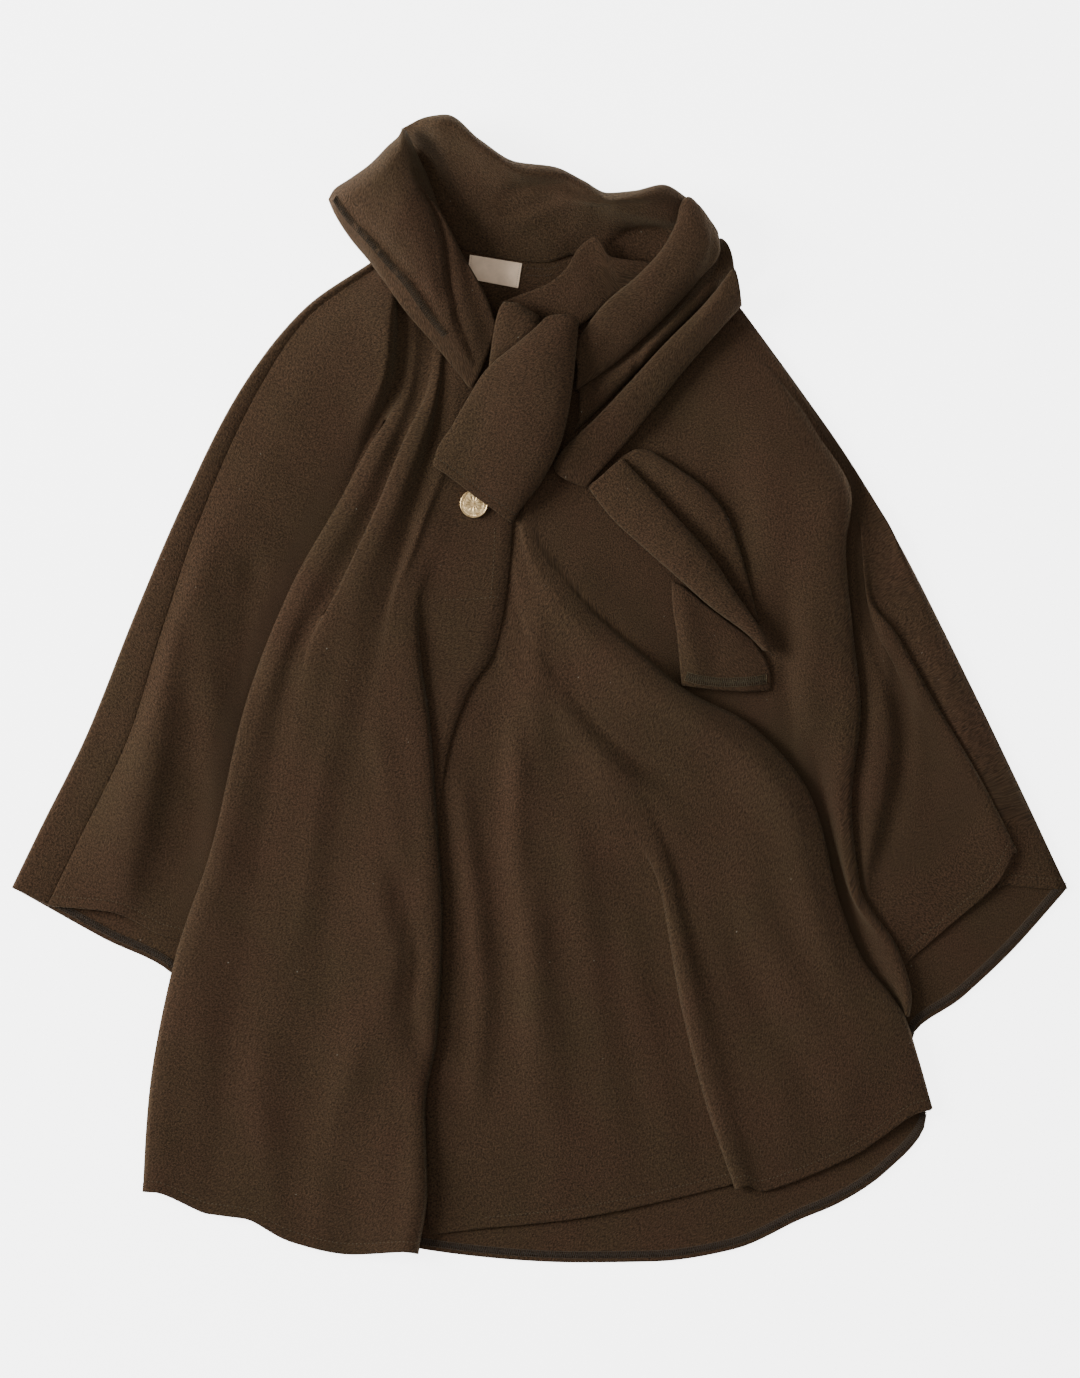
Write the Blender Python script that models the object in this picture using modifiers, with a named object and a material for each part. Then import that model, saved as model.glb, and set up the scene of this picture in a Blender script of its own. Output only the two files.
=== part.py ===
"""Poncho coat in felted wool, laid flat on its back with the scarf collar looped at the neck.

Each cloth piece is one sheet. A sheet is lofted through guide lines that run from the neck to the hem,
and a lapped fold is five guide lines worked out from the fold's path, its lap and its height. The wall is
then given by a Solidify modifier. Everything is drawn on a plan, in millimetres: x to the right and y
down from the corner of the laying-out table, z up from its surface to the middle of the cloth.
"""
import math

import bpy
import numpy as np

MM = 0.001
PLAN_CENTRE = (539.5, 689.1)
OBJECT_NAME = "poncho_coat"

CLOTH_WALL = 1.6
SEAM_GAP = 0.3
TURN_HEIGHT = 3.8
FOOT_LENGTH = 8.0
DROP_START = 0.35
GRID_STEP = 34.0
BACK_STEP = 48.0

LABEL_WALL = 1.0
BUTTON_CENTRE = (474.0, 504.0)
BUTTON_RADIUS = 14.0
BUTTON_FOOT = 7.4
BUTTON_SIDES = 24

OLIVE = (0.046, 0.036, 0.019, 1.0)
CREAM = (0.74, 0.66, 0.54, 1.0)
PALE_GOLD = (0.72, 0.50, 0.24, 1.0)

# Back panel, flat on the table. Columns: x and y at the neck or shoulder, x and y at the hem.
BACK_RAYS = (
    (412, 243, 104, 938),
    (440, 238, 172, 973),
    (465, 246, 225, 1070),
    (485, 251, 320, 1185),
    (505, 255, 419, 1248),
    (545, 259, 576, 1262),
    (562, 256, 655, 1261),
    (578, 251, 733, 1249),
    (600, 247, 800, 1219),
    (614, 245, 838, 1203),
    (628, 244, 886, 1171),
    (645, 243, 926, 1117),
    (668, 247, 912, 1040),
    (690, 256, 962, 997),
    (712, 277, 1008, 954),
)
# Right edge of the back, under the side seam. Columns: x, y.
BACK_RIGHT_EDGE = ((738, 309), (790, 380), (845, 457), (896, 543), (969, 685), (1022, 795), (1067, 888))
# The back's fold at the wearer's right side, from the shoulder to the cuff. Columns: x and y of the
# fold, then how far in the seam lies on the upper side.
BACK_TURN = (
    (371, 262, 8),
    (306, 307, 9),
    (242, 387, 16),
    (184, 500, 22),
    (135, 614, 31),
    (86, 736, 40),
    (40, 829, 40),
    (12, 887, 40),
)
TURN_RISE = 6.4
SEAM_Z = 5.2
SEAM_LEVEL = 2.0
BODY_ROWS = 34

# Guide lines of the wearer's right front. Columns: x, y, z. Its first one is the side seam.
RIGHT_SLEEVE_RIDGE = (
    (386, 274, 10),
    (340, 325, 13),
    (285, 430, 11),
    (194, 600, 11),
    (154, 740, 12),
    (134, 815, 11),
    (110, 911, 6),
)
RIGHT_SLEEVE_HEAD = (
    (396, 282, 12),
    (388, 330, 20),
    (384, 372, 19),
    (348, 430, 10),
    (290, 545, 6),
    (232, 680, 5),
    (190, 830, 4.5),
    (160, 934, 4),
)
RIGHT_VALLEY = (
    (452, 300, 6),
    (437, 415, 5.6),
    (410, 520, 7),
    (374, 650, 10.5),
    (346, 770, 9.6),
    (322, 950, 9),
    (290, 1241, 4.6),
)
RIGHT_CENTRE = (
    (468, 316, 7),
    (452, 430, 9),
    (416, 540, 11),
    (390, 620, 12),
    (384, 690, 12.6),
    (388, 760, 13),
    (374, 900, 14),
    (360, 1060, 13),
    (352, 1254, 5.5),
)
CLOSING_EDGE = (
    (514, 324, 6),
    (516, 420, 6),
    (512, 524, 6),
    (506, 590, 6.4),
    (494, 650, 6.4),
    (466, 695, 6),
    (444, 770, 5.2),
    (434, 870, 5.2),
    (434, 1000, 5.2),
    (419, 1110, 5.2),
    (412, 1250, 5.2),
)
# Lapped folds. Columns: x and y of the fold's edge, lap, lower z, upper z, width up to the crest.
RIGHT_FOLD_OUTER = (
    (408, 286, -3, 7, 8, 5),
    (411, 345, -3, 4.4, 7, 4),
    (407, 382, -3, 3.6, 8, 4),
    (394, 410, -2, 3.6, 10, 7),
    (372, 443, 3, 3.6, 14, 12),
    (340, 501, 8, 3.4, 14, 14),
    (290, 590, 9, 3.2, 14, 14),
    (245, 708, 10, 3.0, 13, 14),
    (212, 850, 10, 3.0, 13, 14),
    (172, 972, 10, 3.0, 14, 14),
    (149, 1100, 10, 3.0, 12, 14),
    (143, 1191, 8, 2.9, 9, 14),
)
RIGHT_FOLD_INNER = (
    (438, 296, -4, 6, 7, 5),
    (436, 350, -4, 5, 8, 5),
    (430, 388, -3, 5, 12, 6),
    (408, 432, 4, 8, 17, 14),
    (378, 505, 5, 9, 18, 14),
    (338, 590, 3, 9, 16, 14),
    (312, 644, -4, 9, 14, 14),
    (300, 705, -9, 9, 13, 16),
    (289, 790, -12, 9.6, 13, 18),
    (272, 920, -14, 9.6, 12, 18),
    (246, 1080, -14, 8.4, 10, 18),
    (228, 1216, -14, 4.4, 4.8, 18),
)
CLOSING_FOLD = (
    (488, 320, -4, 6.4, 7, 5),
    (474, 430, -6, 6.2, 7, 8),
    (440, 530, -10, 6, 7.6, 12),
    (417, 605, -4, 5.4, 12, 12),
    (421, 660, 7, 5.2, 14, 14),
    (430, 725, 28, 5.2, 14, 14),
    (436, 805, 38, 5.2, 14, 14),
    (443, 920, 40, 5.2, 14, 14),
    (437, 1034, 36, 5.2, 14, 14),
    (425, 1110, 32, 5.2, 13, 14),
    (427, 1190, 28, 5.2, 14, 14),
    (418, 1253, 24, 5.2, 14, 14),
)
RIGHT_OUTER_DROP = -255.0
RIGHT_INNER_DROP = 0.0
CLOSING_DROP = -8.0

# Guide lines of the wearer's left front. Columns: x, y, z.
LEFT_HIDDEN_EDGE = (
    (466, 332, 2.8),
    (446, 430, 2.8),
    (430, 620, 2.8),
    (426, 900, 2.8),
    (424, 1180, 2.8),
    (431, 1234, 3.4),
)
LEFT_VALLEY = (
    (480, 328, 2.8),
    (464, 480, 2.8),
    (458, 600, 2.8),
    (474, 690, 3.0),
    (490, 760, 3.2),
    (486, 860, 3.2),
    (489, 990, 3.2),
    (484, 1228, 3.4),
)
LEFT_RIDGE = (
    (494, 324, 2.8),
    (480, 480, 2.8),
    (476, 600, 2.9),
    (503, 695, 4),
    (530, 775, 9),
    (548, 860, 8),
    (560, 1000, 8),
    (571, 1219, 4),
)
FLAP_VALLEY = (
    (541, 300, 3.4),
    (524, 430, 3),
    (513, 530, 3.4),
    (527, 622, 9),
    (590, 718, 9),
    (632, 765, 7),
    (668, 850, 8),
    (698, 950, 11),
    (732, 1060, 11),
    (760, 1191, 4.4),
)
FLAP_RIDGE = (
    (549, 296, 3.6),
    (532, 430, 3.2),
    (519, 530, 4.4),
    (545, 612, 13),
    (616, 702, 15),
    (664, 740, 13),
    (716, 780, 12),
    (768, 890, 12),
    (800, 1000, 12),
    (836, 1090, 9),
    (852, 1156, 4.4),
)
BODICE = (
    (610, 276, 6),
    (650, 400, 4.8),
    (700, 520, 4.6),
    (735, 600, 4.6),
    (775, 680, 4.6),
    (812, 750, 4.4),
    (836, 850, 4),
    (868, 950, 3.6),
    (900, 1009, 3.2),
)
STRIP_CREST = (
    (744, 322, 9),
    (828, 441, 7),
    (850, 510, 5.6),
    (851, 590, 5),
    (874, 680, 8),
    (887, 745, 9.5),
    (876, 815, 9),
    (866, 880, 6.5),
    (904, 948, 4),
    (909, 960, 3.6),
)
STRIP_FOOT = (
    (746, 320, 8.5),
    (832, 441, 6.5),
    (854, 510, 5),
    (855, 590, 4.2),
    (886, 680, 4),
    (900, 745, 3.4),
    (889, 815, 3.4),
    (876, 880, 3.4),
    (911, 943, 3.2),
    (915, 955, 3.0),
)
CUFF_FLAP = (
    (748, 318, 8.5),
    (835, 441, 6),
    (857, 520, 4.4),
    (863, 600, 4.2),
    (900, 680, 5),
    (925, 750, 6),
    (943, 840, 6),
    (951, 924, 3.6),
)
CUFF_CREST = (
    (749, 317.5, 8.5),
    (837, 441, 5.8),
    (860, 520, 4.3),
    (867, 600, 4.6),
    (916, 700, 7.4),
    (940, 752, 8.4),
    (974, 826, 8.6),
    (1001, 878, 7.2),
)
SIDE_STRIP = (
    (753, 316, 9),
    (850, 440, 7),
    (905, 560, 7),
    (950, 665, 7),
    (1000, 770, 7),
    (1032, 850, 6),
    (1040, 888, 3.2),
)
SIDE_EDGE = (
    (740, 308, 4.5),
    (792, 379, 3.6),
    (847, 457, 3.2),
    (898, 543, 3.2),
    (970, 685, 3.2),
    (1023, 795, 3.2),
    (1067, 889, 2.8),
)
FLAP_FOLD_LEFT = (
    (528, 306, -4, 3, 3.3, 4),
    (512, 430, -4, 3, 3.2, 4),
    (501, 530, -4, 3, 3.3, 5),
    (508, 600, -6, 3.2, 4.6, 6),
    (540, 680, -10, 8, 10, 10),
    (595, 765, -10, 7, 9.5, 12),
    (638, 830, -8, 6, 10, 14),
    (660, 890, 4, 4.6, 13, 14),
    (680, 1000, 9, 3.6, 14, 14),
    (705, 1100, 10, 3.2, 11, 14),
    (735, 1189, 6, 2.9, 8, 14),
)
FLAP_FOLD_RIGHT = (
    (557, 292, -6, 4, 4.4, 4),
    (541, 430, -6, 3.6, 4, 5),
    (531, 525, -6, 4, 7, 7),
    (570, 590, -8, 5, 17, 14),
    (650, 664, -3, 3.6, 22, 20),
    (690, 693, 4, 3.4, 22, 22),
    (750, 725, 8, 3.2, 20, 22),
    (812, 800, 10, 3.2, 17, 20),
    (840, 905, 10, 3.2, 15, 18),
    (865, 965, 12, 3.2, 15, 16),
    (903, 1014, 12, 3.0, 15, 16),
    (917, 1056, 12, 2.9, 12, 16),
    (932, 1108, 8, 2.8, 8.4, 16),
)
SHOULDER_FOLD = (
    (720, 318, -4, 5.6, 6.4, 8),
    (771, 374, -3, 6, 11, 14),
    (815, 432, 2, 5, 17, 18),
    (851, 500, 6, 4.6, 20, 20),
    (845, 548, 6, 4.2, 18, 18),
    (852, 630, 7, 4.0, 16, 18),
    (860, 710, 6, 3.8, 14, 14),
    (851, 800, 5, 3.8, 12, 10),
    (860, 888, 5, 3.8, 11, 8),
    (898, 950, 6, 3.6, 10, 6),
    (911, 1000, 6, 3.2, 11, 4),
    (909, 1016, 5, 2.9, 10.5, 3),
)
CUFF_FOLD = (
    (750, 317, -4, 8, 9, 3),
    (838, 441, -4, 5.6, 7, 3),
    (862, 520, -4, 4, 5.4, 3),
    (870, 597, -2, 3.4, 7.4, 3),
    (895, 633, 5, 3.2, 9.4, 5),
    (933, 700, 9, 3.2, 9.5, 8),
    (980, 780, 16, 3.2, 9.5, 8),
    (1017, 851, 30, 2.9, 9.4, 5),
)
FLAP_LEFT_DROP = -6.0
FLAP_RIGHT_DROP = -105.0
SHOULDER_DROP = -52.0
CUFF_DROP = 24.0
# Places in the wearer's left front's list of lines, and where along the lines their folds start.
FLAP_LINES = (0, 15)
FLAP_START = (0.06, 0.2)
SLEEVE_LINES = (20, 31)
SLEEVE_START = (0.30, 0.42)

# Scarf collar. Each sheet is a set of guide lines with columns x, y, z.
COLLAR_BACK = (
    (
        (432, 238, 2.9), (465, 249, 2.9), (505, 258, 2.9), (545, 262, 2.9), (577, 254, 2.9), (606, 256, 4),
        (640, 264, 5), (680, 258, 6),
    ),
    (
        (428, 214, 5), (462, 228, 9), (503, 238, 10), (547, 242, 12), (580, 234, 14), (608, 232, 13),
        (645, 232, 10), (684, 236, 14),
    ),
    (
        (424, 190, 8), (462, 200, 18), (500, 212, 19), (548, 208, 23), (590, 208, 32), (622, 213, 36),
        (662, 220, 32), (682, 226, 25),
    ),
    (
        (419, 160, 9), (450, 160, 30), (505, 184, 34), (555, 192, 36), (596, 204, 40), (628, 204, 43),
        (664, 206, 40), (681, 215, 33),
    ),
    (
        (405, 134, 15), (444, 126, 44), (484, 151, 44), (522, 174, 43), (556, 178, 42), (590, 194, 42),
        (612, 203, 43), (636, 200, 45), (664, 196, 42), (682, 205, 35),
    ),
    (
        (402, 130, 15), (428, 119, 32), (446, 117, 34), (480, 142, 33), (516, 164, 32), (554, 169, 32),
        (582, 182, 32), (608, 195, 32), (634, 193, 34), (662, 187, 36), (690, 202, 27),
    ),
    (
        (408, 137, 9), (450, 129, 10), (488, 157, 9), (522, 177, 9), (556, 182, 9), (592, 201, 9),
        (632, 204, 9), (662, 200, 12), (680, 206, 14),
    ),
    (
        (428, 152, 0.8), (454, 148, 0.8), (494, 173, 0.8), (534, 194, 0.8), (588, 215, 0.8),
        (632, 218, 0.8), (660, 216, 0.8), (674, 218, 2),
    ),
)
COLLAR_LEFT = (
    (
        (420, 165, 18), (423, 168, 22), (427, 177, 27), (433, 194, 31), (447, 228, 30), (465, 263, 22),
        (489, 308, 16), (499, 338, 13),
    ),
    (
        (410, 157, 8), (404, 131, 34), (408, 146, 46), (417, 180, 47), (437, 210, 44), (457, 251, 37),
        (482, 294, 29), (497, 330, 22),
    ),
    (
        (406, 162, 6), (399, 139, 36), (402, 152, 50), (412, 186, 51), (431, 222, 46), (445, 276, 38),
        (465, 330, 29), (487, 356, 21),
    ),
    (
        (400, 170, 5), (389, 148, 36), (394, 164, 52), (404, 200, 53), (424, 246, 46), (440, 300, 36),
        (456, 344, 27), (482, 368, 20),
    ),
    (
        (390, 180, 4), (371, 166, 32), (378, 182, 49), (390, 216, 49), (408, 260, 41), (428, 306, 32),
        (448, 346, 24), (478, 377, 18),
    ),
    (
        (370, 194, 4), (351, 180, 24), (358, 196, 40), (374, 230, 39), (392, 268, 32), (414, 310, 26),
        (442, 348, 21), (474, 384, 16),
    ),
    (
        (352, 210, 4), (334, 191, 14), (340, 206, 26), (358, 236, 27), (378, 270, 24), (404, 309, 21),
        (436, 346, 18), (471, 388, 14),
    ),
    (
        (347, 217, 3.4), (329, 200, 9), (335, 214, 18), (350, 238, 20), (370, 262, 19), (400, 301, 17),
        (434, 338, 15), (468, 386, 12.6),
    ),
)
COLLAR_RIGHT = (
    (
        (694, 226, 26), (688, 214, 38), (682, 228, 36), (672, 252, 32), (652, 278, 28), (616, 310, 24),
        (592, 338, 20), (580, 356, 18),
    ),
    (
        (696, 222, 24), (681, 206, 44), (677, 222, 44), (664, 248, 41), (640, 275, 37), (605, 305, 33),
        (584, 332, 28), (574, 350, 25),
    ),
    (
        (700, 224, 18), (688, 199, 42), (689, 224, 50), (676, 254, 47), (650, 284, 42), (616, 314, 37),
        (594, 342, 31), (576, 360, 27),
    ),
    (
        (704, 231, 14), (697, 206, 42), (699, 230, 49), (688, 262, 46), (661, 293, 41), (628, 324, 35),
        (603, 350, 29), (578, 370, 25),
    ),
    (
        (709, 241, 12), (706, 217, 39), (709, 240, 45), (698, 270, 41), (671, 301, 36), (638, 333, 31),
        (611, 359, 26), (577, 382, 22),
    ),
    (
        (712, 248, 10), (717, 235, 30), (719, 252, 35), (705, 272, 32), (678, 303, 29), (645, 336, 25),
        (615, 363, 21), (576, 390, 18.4),
    ),
    (
        (707, 252, 8), (711, 246, 20), (710, 258, 25), (696, 276, 24), (670, 304, 22), (638, 334, 19),
        (608, 359, 16), (573, 384, 13.6),
    ),
)
COLLAR_BAND = (
    (
        (710, 262, 14), (696, 278, 14), (668, 304, 13.4), (636, 334, 13), (606, 359, 12), (575, 384, 11.4),
    ),
    (
        (720, 239, 17), (707, 274, 21), (682, 307, 20), (649, 340, 19), (619, 367, 18), (580, 394, 15),
    ),
    (
        (727, 245, 24), (713, 279, 27), (685, 310, 25), (653, 344, 24), (624, 372, 22), (580, 406, 17.4),
    ),
    (
        (732, 258, 25), (719, 282, 25), (692, 311, 23), (658, 345, 22), (628, 376, 20), (579, 420, 15.4),
    ),
    (
        (734, 272, 21), (724, 284, 20), (696, 310, 19), (661, 346, 18), (630, 378, 15), (597, 411, 12),
        (574, 432, 11.2),
    ),
)
COLLAR_STRAP = (
    (
        (722, 296, 14), (704, 312, 14), (672, 346, 13), (638, 384, 12), (608, 416, 11.4), (570, 452, 10),
        (561, 463, 9.4),
    ),
    (
        (726, 280, 31), (700, 310, 30.4), (664, 346, 27), (632, 381, 23), (600, 415, 20), (561, 454, 17),
        (554, 466, 13),
    ),
    (
        (733, 270, 36), (707, 313, 35), (671, 349, 30.4), (638, 385, 26), (606, 420, 22.6), (566, 459, 19),
        (557, 473, 15.4),
    ),
    (
        (738, 284, 35), (714, 318, 33), (680, 354, 29), (646, 391, 25), (614, 427, 21.6), (574, 467, 18),
        (567, 480, 15),
    ),
    (
        (741, 306, 24), (722, 327, 24), (689, 364, 22), (655, 406, 18.6), (624, 444, 16), (594, 477, 14),
        (586, 487, 12.4),
    ),
    (
        (730, 306, 12), (712, 326, 12), (680, 364, 11.6), (648, 402, 11), (616, 440, 10.4), (586, 470, 9.8),
        (576, 479, 9),
    ),
)
COLLAR_ROOT = (
    (
        (498, 304, 12), (520, 296, 14), (548, 285, 16), (566, 270, 18), (580, 248, 21), (596, 238, 22),
        (611, 258, 21), (654, 264, 20),
    ),
    (
        (504, 314, 11), (530, 309, 13), (556, 300, 15), (578, 286, 17), (593, 266, 19), (603, 256, 21),
        (617, 271, 19), (650, 271, 18),
    ),
    (
        (520, 332, 10), (545, 333, 11), (570, 330, 12), (590, 318, 12.6), (606, 304, 13), (620, 292, 14),
        (634, 284, 15), (647, 277, 16),
    ),
)
KNOT_LOOP = (
    ((500, 346, 17), (502, 322, 20), (506, 308, 22), (514, 312, 21)),
    ((489, 372, 22), (492, 348, 27), (499, 312, 30), (504, 303, 26)),
    ((496, 366, 26), (505, 345, 32), (513, 318, 34), (516, 304, 28)),
    ((504, 357, 27), (519, 340, 34), (527, 322, 35), (529, 311, 28)),
    ((512, 350, 25), (531, 336, 31), (538, 328, 31), (539, 318, 26)),
    ((514, 344, 18), (526, 334, 21), (530, 328, 21), (530, 322, 19)),
)
SCARF_END = (
    (
        (545, 334, 33), (520, 352, 31), (498, 374, 27), (482, 400, 22), (466, 426, 18),
        (450, 448, 15.4), (444, 463, 14.2),
    ),
    (
        (542, 326, 37), (512, 349, 37), (486, 372, 33), (467, 402, 28), (452, 428, 23), (437, 452, 19),
        (434, 465, 18),
    ),
    (
        (548, 318, 38), (524, 350, 43), (500, 380, 40), (484, 412, 34), (470, 440, 28), (458, 466, 23),
        (454, 480, 20),
    ),
    (
        (560, 316, 38), (545, 352, 46), (527, 388, 44), (512, 425, 38), (498, 458, 31), (484, 486, 24),
        (476, 497, 20),
    ),
    (
        (571, 318, 37), (564, 352, 43), (553, 393, 43), (540, 435, 37), (524, 472, 30), (505, 503, 22),
        (497, 512, 18),
    ),
    (
        (578, 323, 33), (575, 356, 35), (571, 393, 34), (562, 438, 29), (541, 482, 22), (519, 511, 16),
        (512, 523, 13),
    ),
    (
        (570, 336, 26), (566, 360, 26), (562, 393, 25), (552, 434, 22), (532, 474, 17),
        (510, 504, 13.4), (504, 514, 12),
    ),
)
TAIL_LEAF = (
    (
        (616, 462, 11.4), (640, 482, 11.4), (668, 512, 11.4), (694, 540, 11.4), (714, 568, 11.4),
        (745, 622, 11.6),
    ),
    (
        (626, 455, 13.4), (650, 476, 13.4), (676, 505, 12.4), (701, 534, 12), (719, 564, 12),
        (748, 618, 12.6),
    ),
    (
        (638, 450, 15.4), (664, 467, 18), (692, 490, 17.4), (713, 517, 16), (731, 550, 15),
        (755, 619, 14.6),
    ),
    (
        (652, 452, 14.4), (678, 469, 16), (704, 488, 15.6), (723, 510, 15), (738, 546, 14.4),
        (758, 622, 13.4),
    ),
    (
        (646, 460, 11.4), (670, 476, 11.8), (696, 497, 11.8), (715, 519, 11.6), (730, 552, 11.6),
        (753, 624, 11.4),
    ),
)
TAIL_FOLD = (
    (
        (600, 482, 10.6), (622, 508, 12), (650, 534, 14), (682, 561, 16), (716, 593, 17), (748, 627, 16.6),
        (760, 645, 16),
    ),
    (
        (588, 487, 13), (612, 518, 16), (641, 545, 19), (676, 576, 24), (711, 607, 25), (746, 633, 24),
        (763, 650, 20),
    ),
    (
        (600, 478, 17), (626, 507, 21), (654, 535, 25), (689, 567, 30), (719, 597, 31), (751, 628, 28.6),
        (767, 651, 23),
    ),
    (
        (612, 467, 18), (639, 496, 23), (667, 526, 26), (699, 558, 30), (725, 589, 30), (756, 627, 28),
        (770, 652, 22),
    ),
    (
        (622, 459, 17), (650, 489, 21), (680, 522, 22.6), (710, 556, 25), (734, 592, 26), (761, 632, 25),
        (772, 655, 20),
    ),
)
TAIL_END = (
    ((672, 582, 13), (673, 606, 13), (677, 632, 13.4), (680, 662, 16.4), (682, 685, 20)),
    ((684, 588, 15), (686, 612, 17), (690, 640, 18), (695, 666, 20), (698, 687, 21.4)),
    ((706, 606, 15), (708, 624, 16), (714, 648, 16), (720, 670, 17), (724, 690, 19)),
    ((730, 624, 15), (735, 638, 16.6), (741, 656, 17), (746, 674, 17), (748, 691, 17)),
    ((752, 640, 14), (760, 652, 15), (767, 664, 15), (770, 678, 14), (770, 690, 12.6)),
)
COLLAR_STEP = 17.0
# Columns: node, guide lines, rows along them, and how far the stretch sinks onto what carries it.
COLLAR_STRETCHES = (
    ("collar_back", COLLAR_BACK, 16, 0.06),
    ("collar_left", COLLAR_LEFT, 18, 1.7),
    ("collar_right", COLLAR_RIGHT, 16, 4.8),
    ("collar_band", COLLAR_BAND, 10, 4.8),
    ("collar_strap", COLLAR_STRAP, 12, 2.0),
    ("collar_root", COLLAR_ROOT, 12, 2.4),
    ("knot_loop", KNOT_LOOP, 8, 1.7),
    ("scarf_end", SCARF_END, 14, 2.8),
    ("tail_leaf", TAIL_LEAF, 10, 3.1),
    ("tail_fold", TAIL_FOLD, 12, 4.4),
    ("tail_end", TAIL_END, 8, 6.4),
)

LABEL_CORNERS = ((470, 255), (522, 263.5), (518, 288), (467, 278.5))
LABEL_FOOT = 1.9


def clear_scene():
    """Remove every object that the scene holds."""
    for item in list(bpy.data.objects):
        bpy.data.objects.remove(item, do_unlink=True)


def make_collection(name):
    """Return a new collection linked to the scene."""
    collection = bpy.data.collections.new(name)
    bpy.context.scene.collection.children.link(collection)
    return collection


def make_material(name, colour, roughness, metallic=0.0):
    """Return a Principled material in one colour."""
    material = bpy.data.materials.new(name)
    material.use_nodes = True
    shader = material.node_tree.nodes["Principled BSDF"]
    shader.inputs["Base Color"].default_value = colour
    shader.inputs["Roughness"].default_value = roughness
    shader.inputs["Metallic"].default_value = metallic
    material.diffuse_color = colour
    return material


def arc_knots(points):
    """Return the running length along rows of points, from 0."""
    steps = np.linalg.norm(np.diff(points[:, :2], axis=0), axis=1)
    return np.concatenate(([0.0], np.cumsum(np.maximum(steps, 1.0))))


def smooth_read(knots, values, places):
    """Read a smooth curve through rows of values that never swings past a row.

    The slope at a row is the harmonic mean of the slopes on its two sides, or none where the values
    turn back there. Places past the ends carry on in a straight line.
    """
    gaps = np.diff(knots)[:, None]
    rates = np.diff(values, axis=0) / gaps
    before, after = rates[:-1], rates[1:]
    same_way = before * after > 0.0
    total = np.where(same_way, before + after, 1.0)
    inner = np.where(same_way, 2.0 * before * after / total, 0.0)
    slopes = np.vstack((rates[:1], inner, rates[-1:]))
    inside = np.clip(places, knots[0], knots[-1])
    index = np.clip(np.searchsorted(knots, inside, side="right") - 1, 0, len(knots) - 2)
    width = gaps[index]
    part = ((inside - knots[index])[:, None]) / width
    curve = (
        (1.0 + 2.0 * part) * (1.0 - part) ** 2 * values[index]
        + part * (1.0 - part) ** 2 * width * slopes[index]
        + part ** 2 * (3.0 - 2.0 * part) * values[index + 1]
        + part ** 2 * (part - 1.0) * width * slopes[index + 1]
    )
    past = (places - inside)[:, None]
    end_slopes = np.where(past > 0.0, slopes[-1:], slopes[:1])
    return curve + past * end_slopes


def guide(table, rows):
    """Return a guide line as rows of x, y, z at even steps of its length."""
    points = np.array(table, dtype=float)
    knots = arc_knots(points)
    return smooth_read(knots, points, np.linspace(0.0, knots[-1], rows))


def fold_guides(table, facing, drop, rows):
    """Return the five guide lines of a lapped fold, from the crest to the foot of the lower layer.

    facing is 1 where the fold's edge looks to the right of its path and -1 where it looks left. A
    negative lap opens the fold out into a soft step. The lower layer ends short of the edge's end, or past
    it, by drop.
    """
    points = np.array(table, dtype=float)
    knots = arc_knots(points)
    share = np.linspace(0.0, 1.0, rows)

    def read(places):
        here = smooth_read(knots, points, places)
        ahead = smooth_read(knots, points[:, :2], places + 6.0)
        behind = smooth_read(knots, points[:, :2], places - 6.0)
        along = ahead - behind
        along /= np.linalg.norm(along, axis=1)[:, None]
        across = facing * np.column_stack((along[:, 1], -along[:, 0]))
        return here, across

    upper, upper_side = read(share * knots[-1])
    late = np.clip((share - DROP_START) / (1.0 - DROP_START), 0.0, 1.0) ** 2
    lower, lower_side = read(share * knots[-1] + drop * late)
    turn = np.minimum(TURN_HEIGHT, 0.4 * (upper[:, 4] - upper[:, 3]))
    edge_z = upper[:, 3] + turn + 0.45 * (upper[:, 4] - upper[:, 3] - turn)
    middle = 0.5 * (upper[:, :2] + lower[:, :2])
    middle_side = 0.5 * (upper_side + lower_side)
    middle_lap = 0.25 * (upper[:, 2] + lower[:, 2])
    crest = np.column_stack((upper[:, :2] - upper[:, 5:6] * upper_side, upper[:, 4]))
    edge = np.column_stack((upper[:, :2], edge_z))
    inner = np.column_stack((middle - middle_lap[:, None] * middle_side, upper[:, 3] + turn))
    root = np.column_stack((lower[:, :2] - lower[:, 2:3] * lower_side, lower[:, 3] + 0.5 * turn))
    foot = np.column_stack((lower[:, :2] - (lower[:, 2:3] - FOOT_LENGTH) * lower_side, lower[:, 3]))
    lines = [crest, edge, inner, root, foot]
    return lines if facing > 0 else lines[::-1]


def spread(lines, first, last, start):
    """Spread guide lines evenly between two others, above the place where their folds start.

    start holds the shares of the length where the spreading begins to fade and where it has gone.
    """
    share = np.linspace(0.0, 1.0, len(lines[first]))
    part = np.clip((share - start[0]) / (start[1] - start[0]), 0.0, 1.0)
    own = (part * part * (3.0 - 2.0 * part))[:, None]
    for index in range(first + 1, last):
        place = (index - first) / (last - first)
        even = (1.0 - place) * lines[first] + place * lines[last]
        lines[index] = own * lines[index] + (1.0 - own) * even


def loft(lines, step):
    """Return the grid of points of a sheet through guide lines, rows by columns by 3."""
    stack = np.array(lines)
    chords = np.linalg.norm(np.diff(stack, axis=0), axis=2).mean(axis=1)
    knots = np.concatenate(([0.0], np.cumsum(np.sqrt(np.maximum(chords, 2.0)))))
    places = [0.0]
    for first, last, chord in zip(knots[:-1], knots[1:], chords):
        count = max(1, round(chord / step))
        places.extend(np.linspace(first, last, count + 1)[1:])
    flat = stack.reshape(len(lines), -1)
    grid = smooth_read(knots, flat, np.array(places))
    return grid.reshape(len(places), -1, 3).transpose(1, 0, 2)


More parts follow.
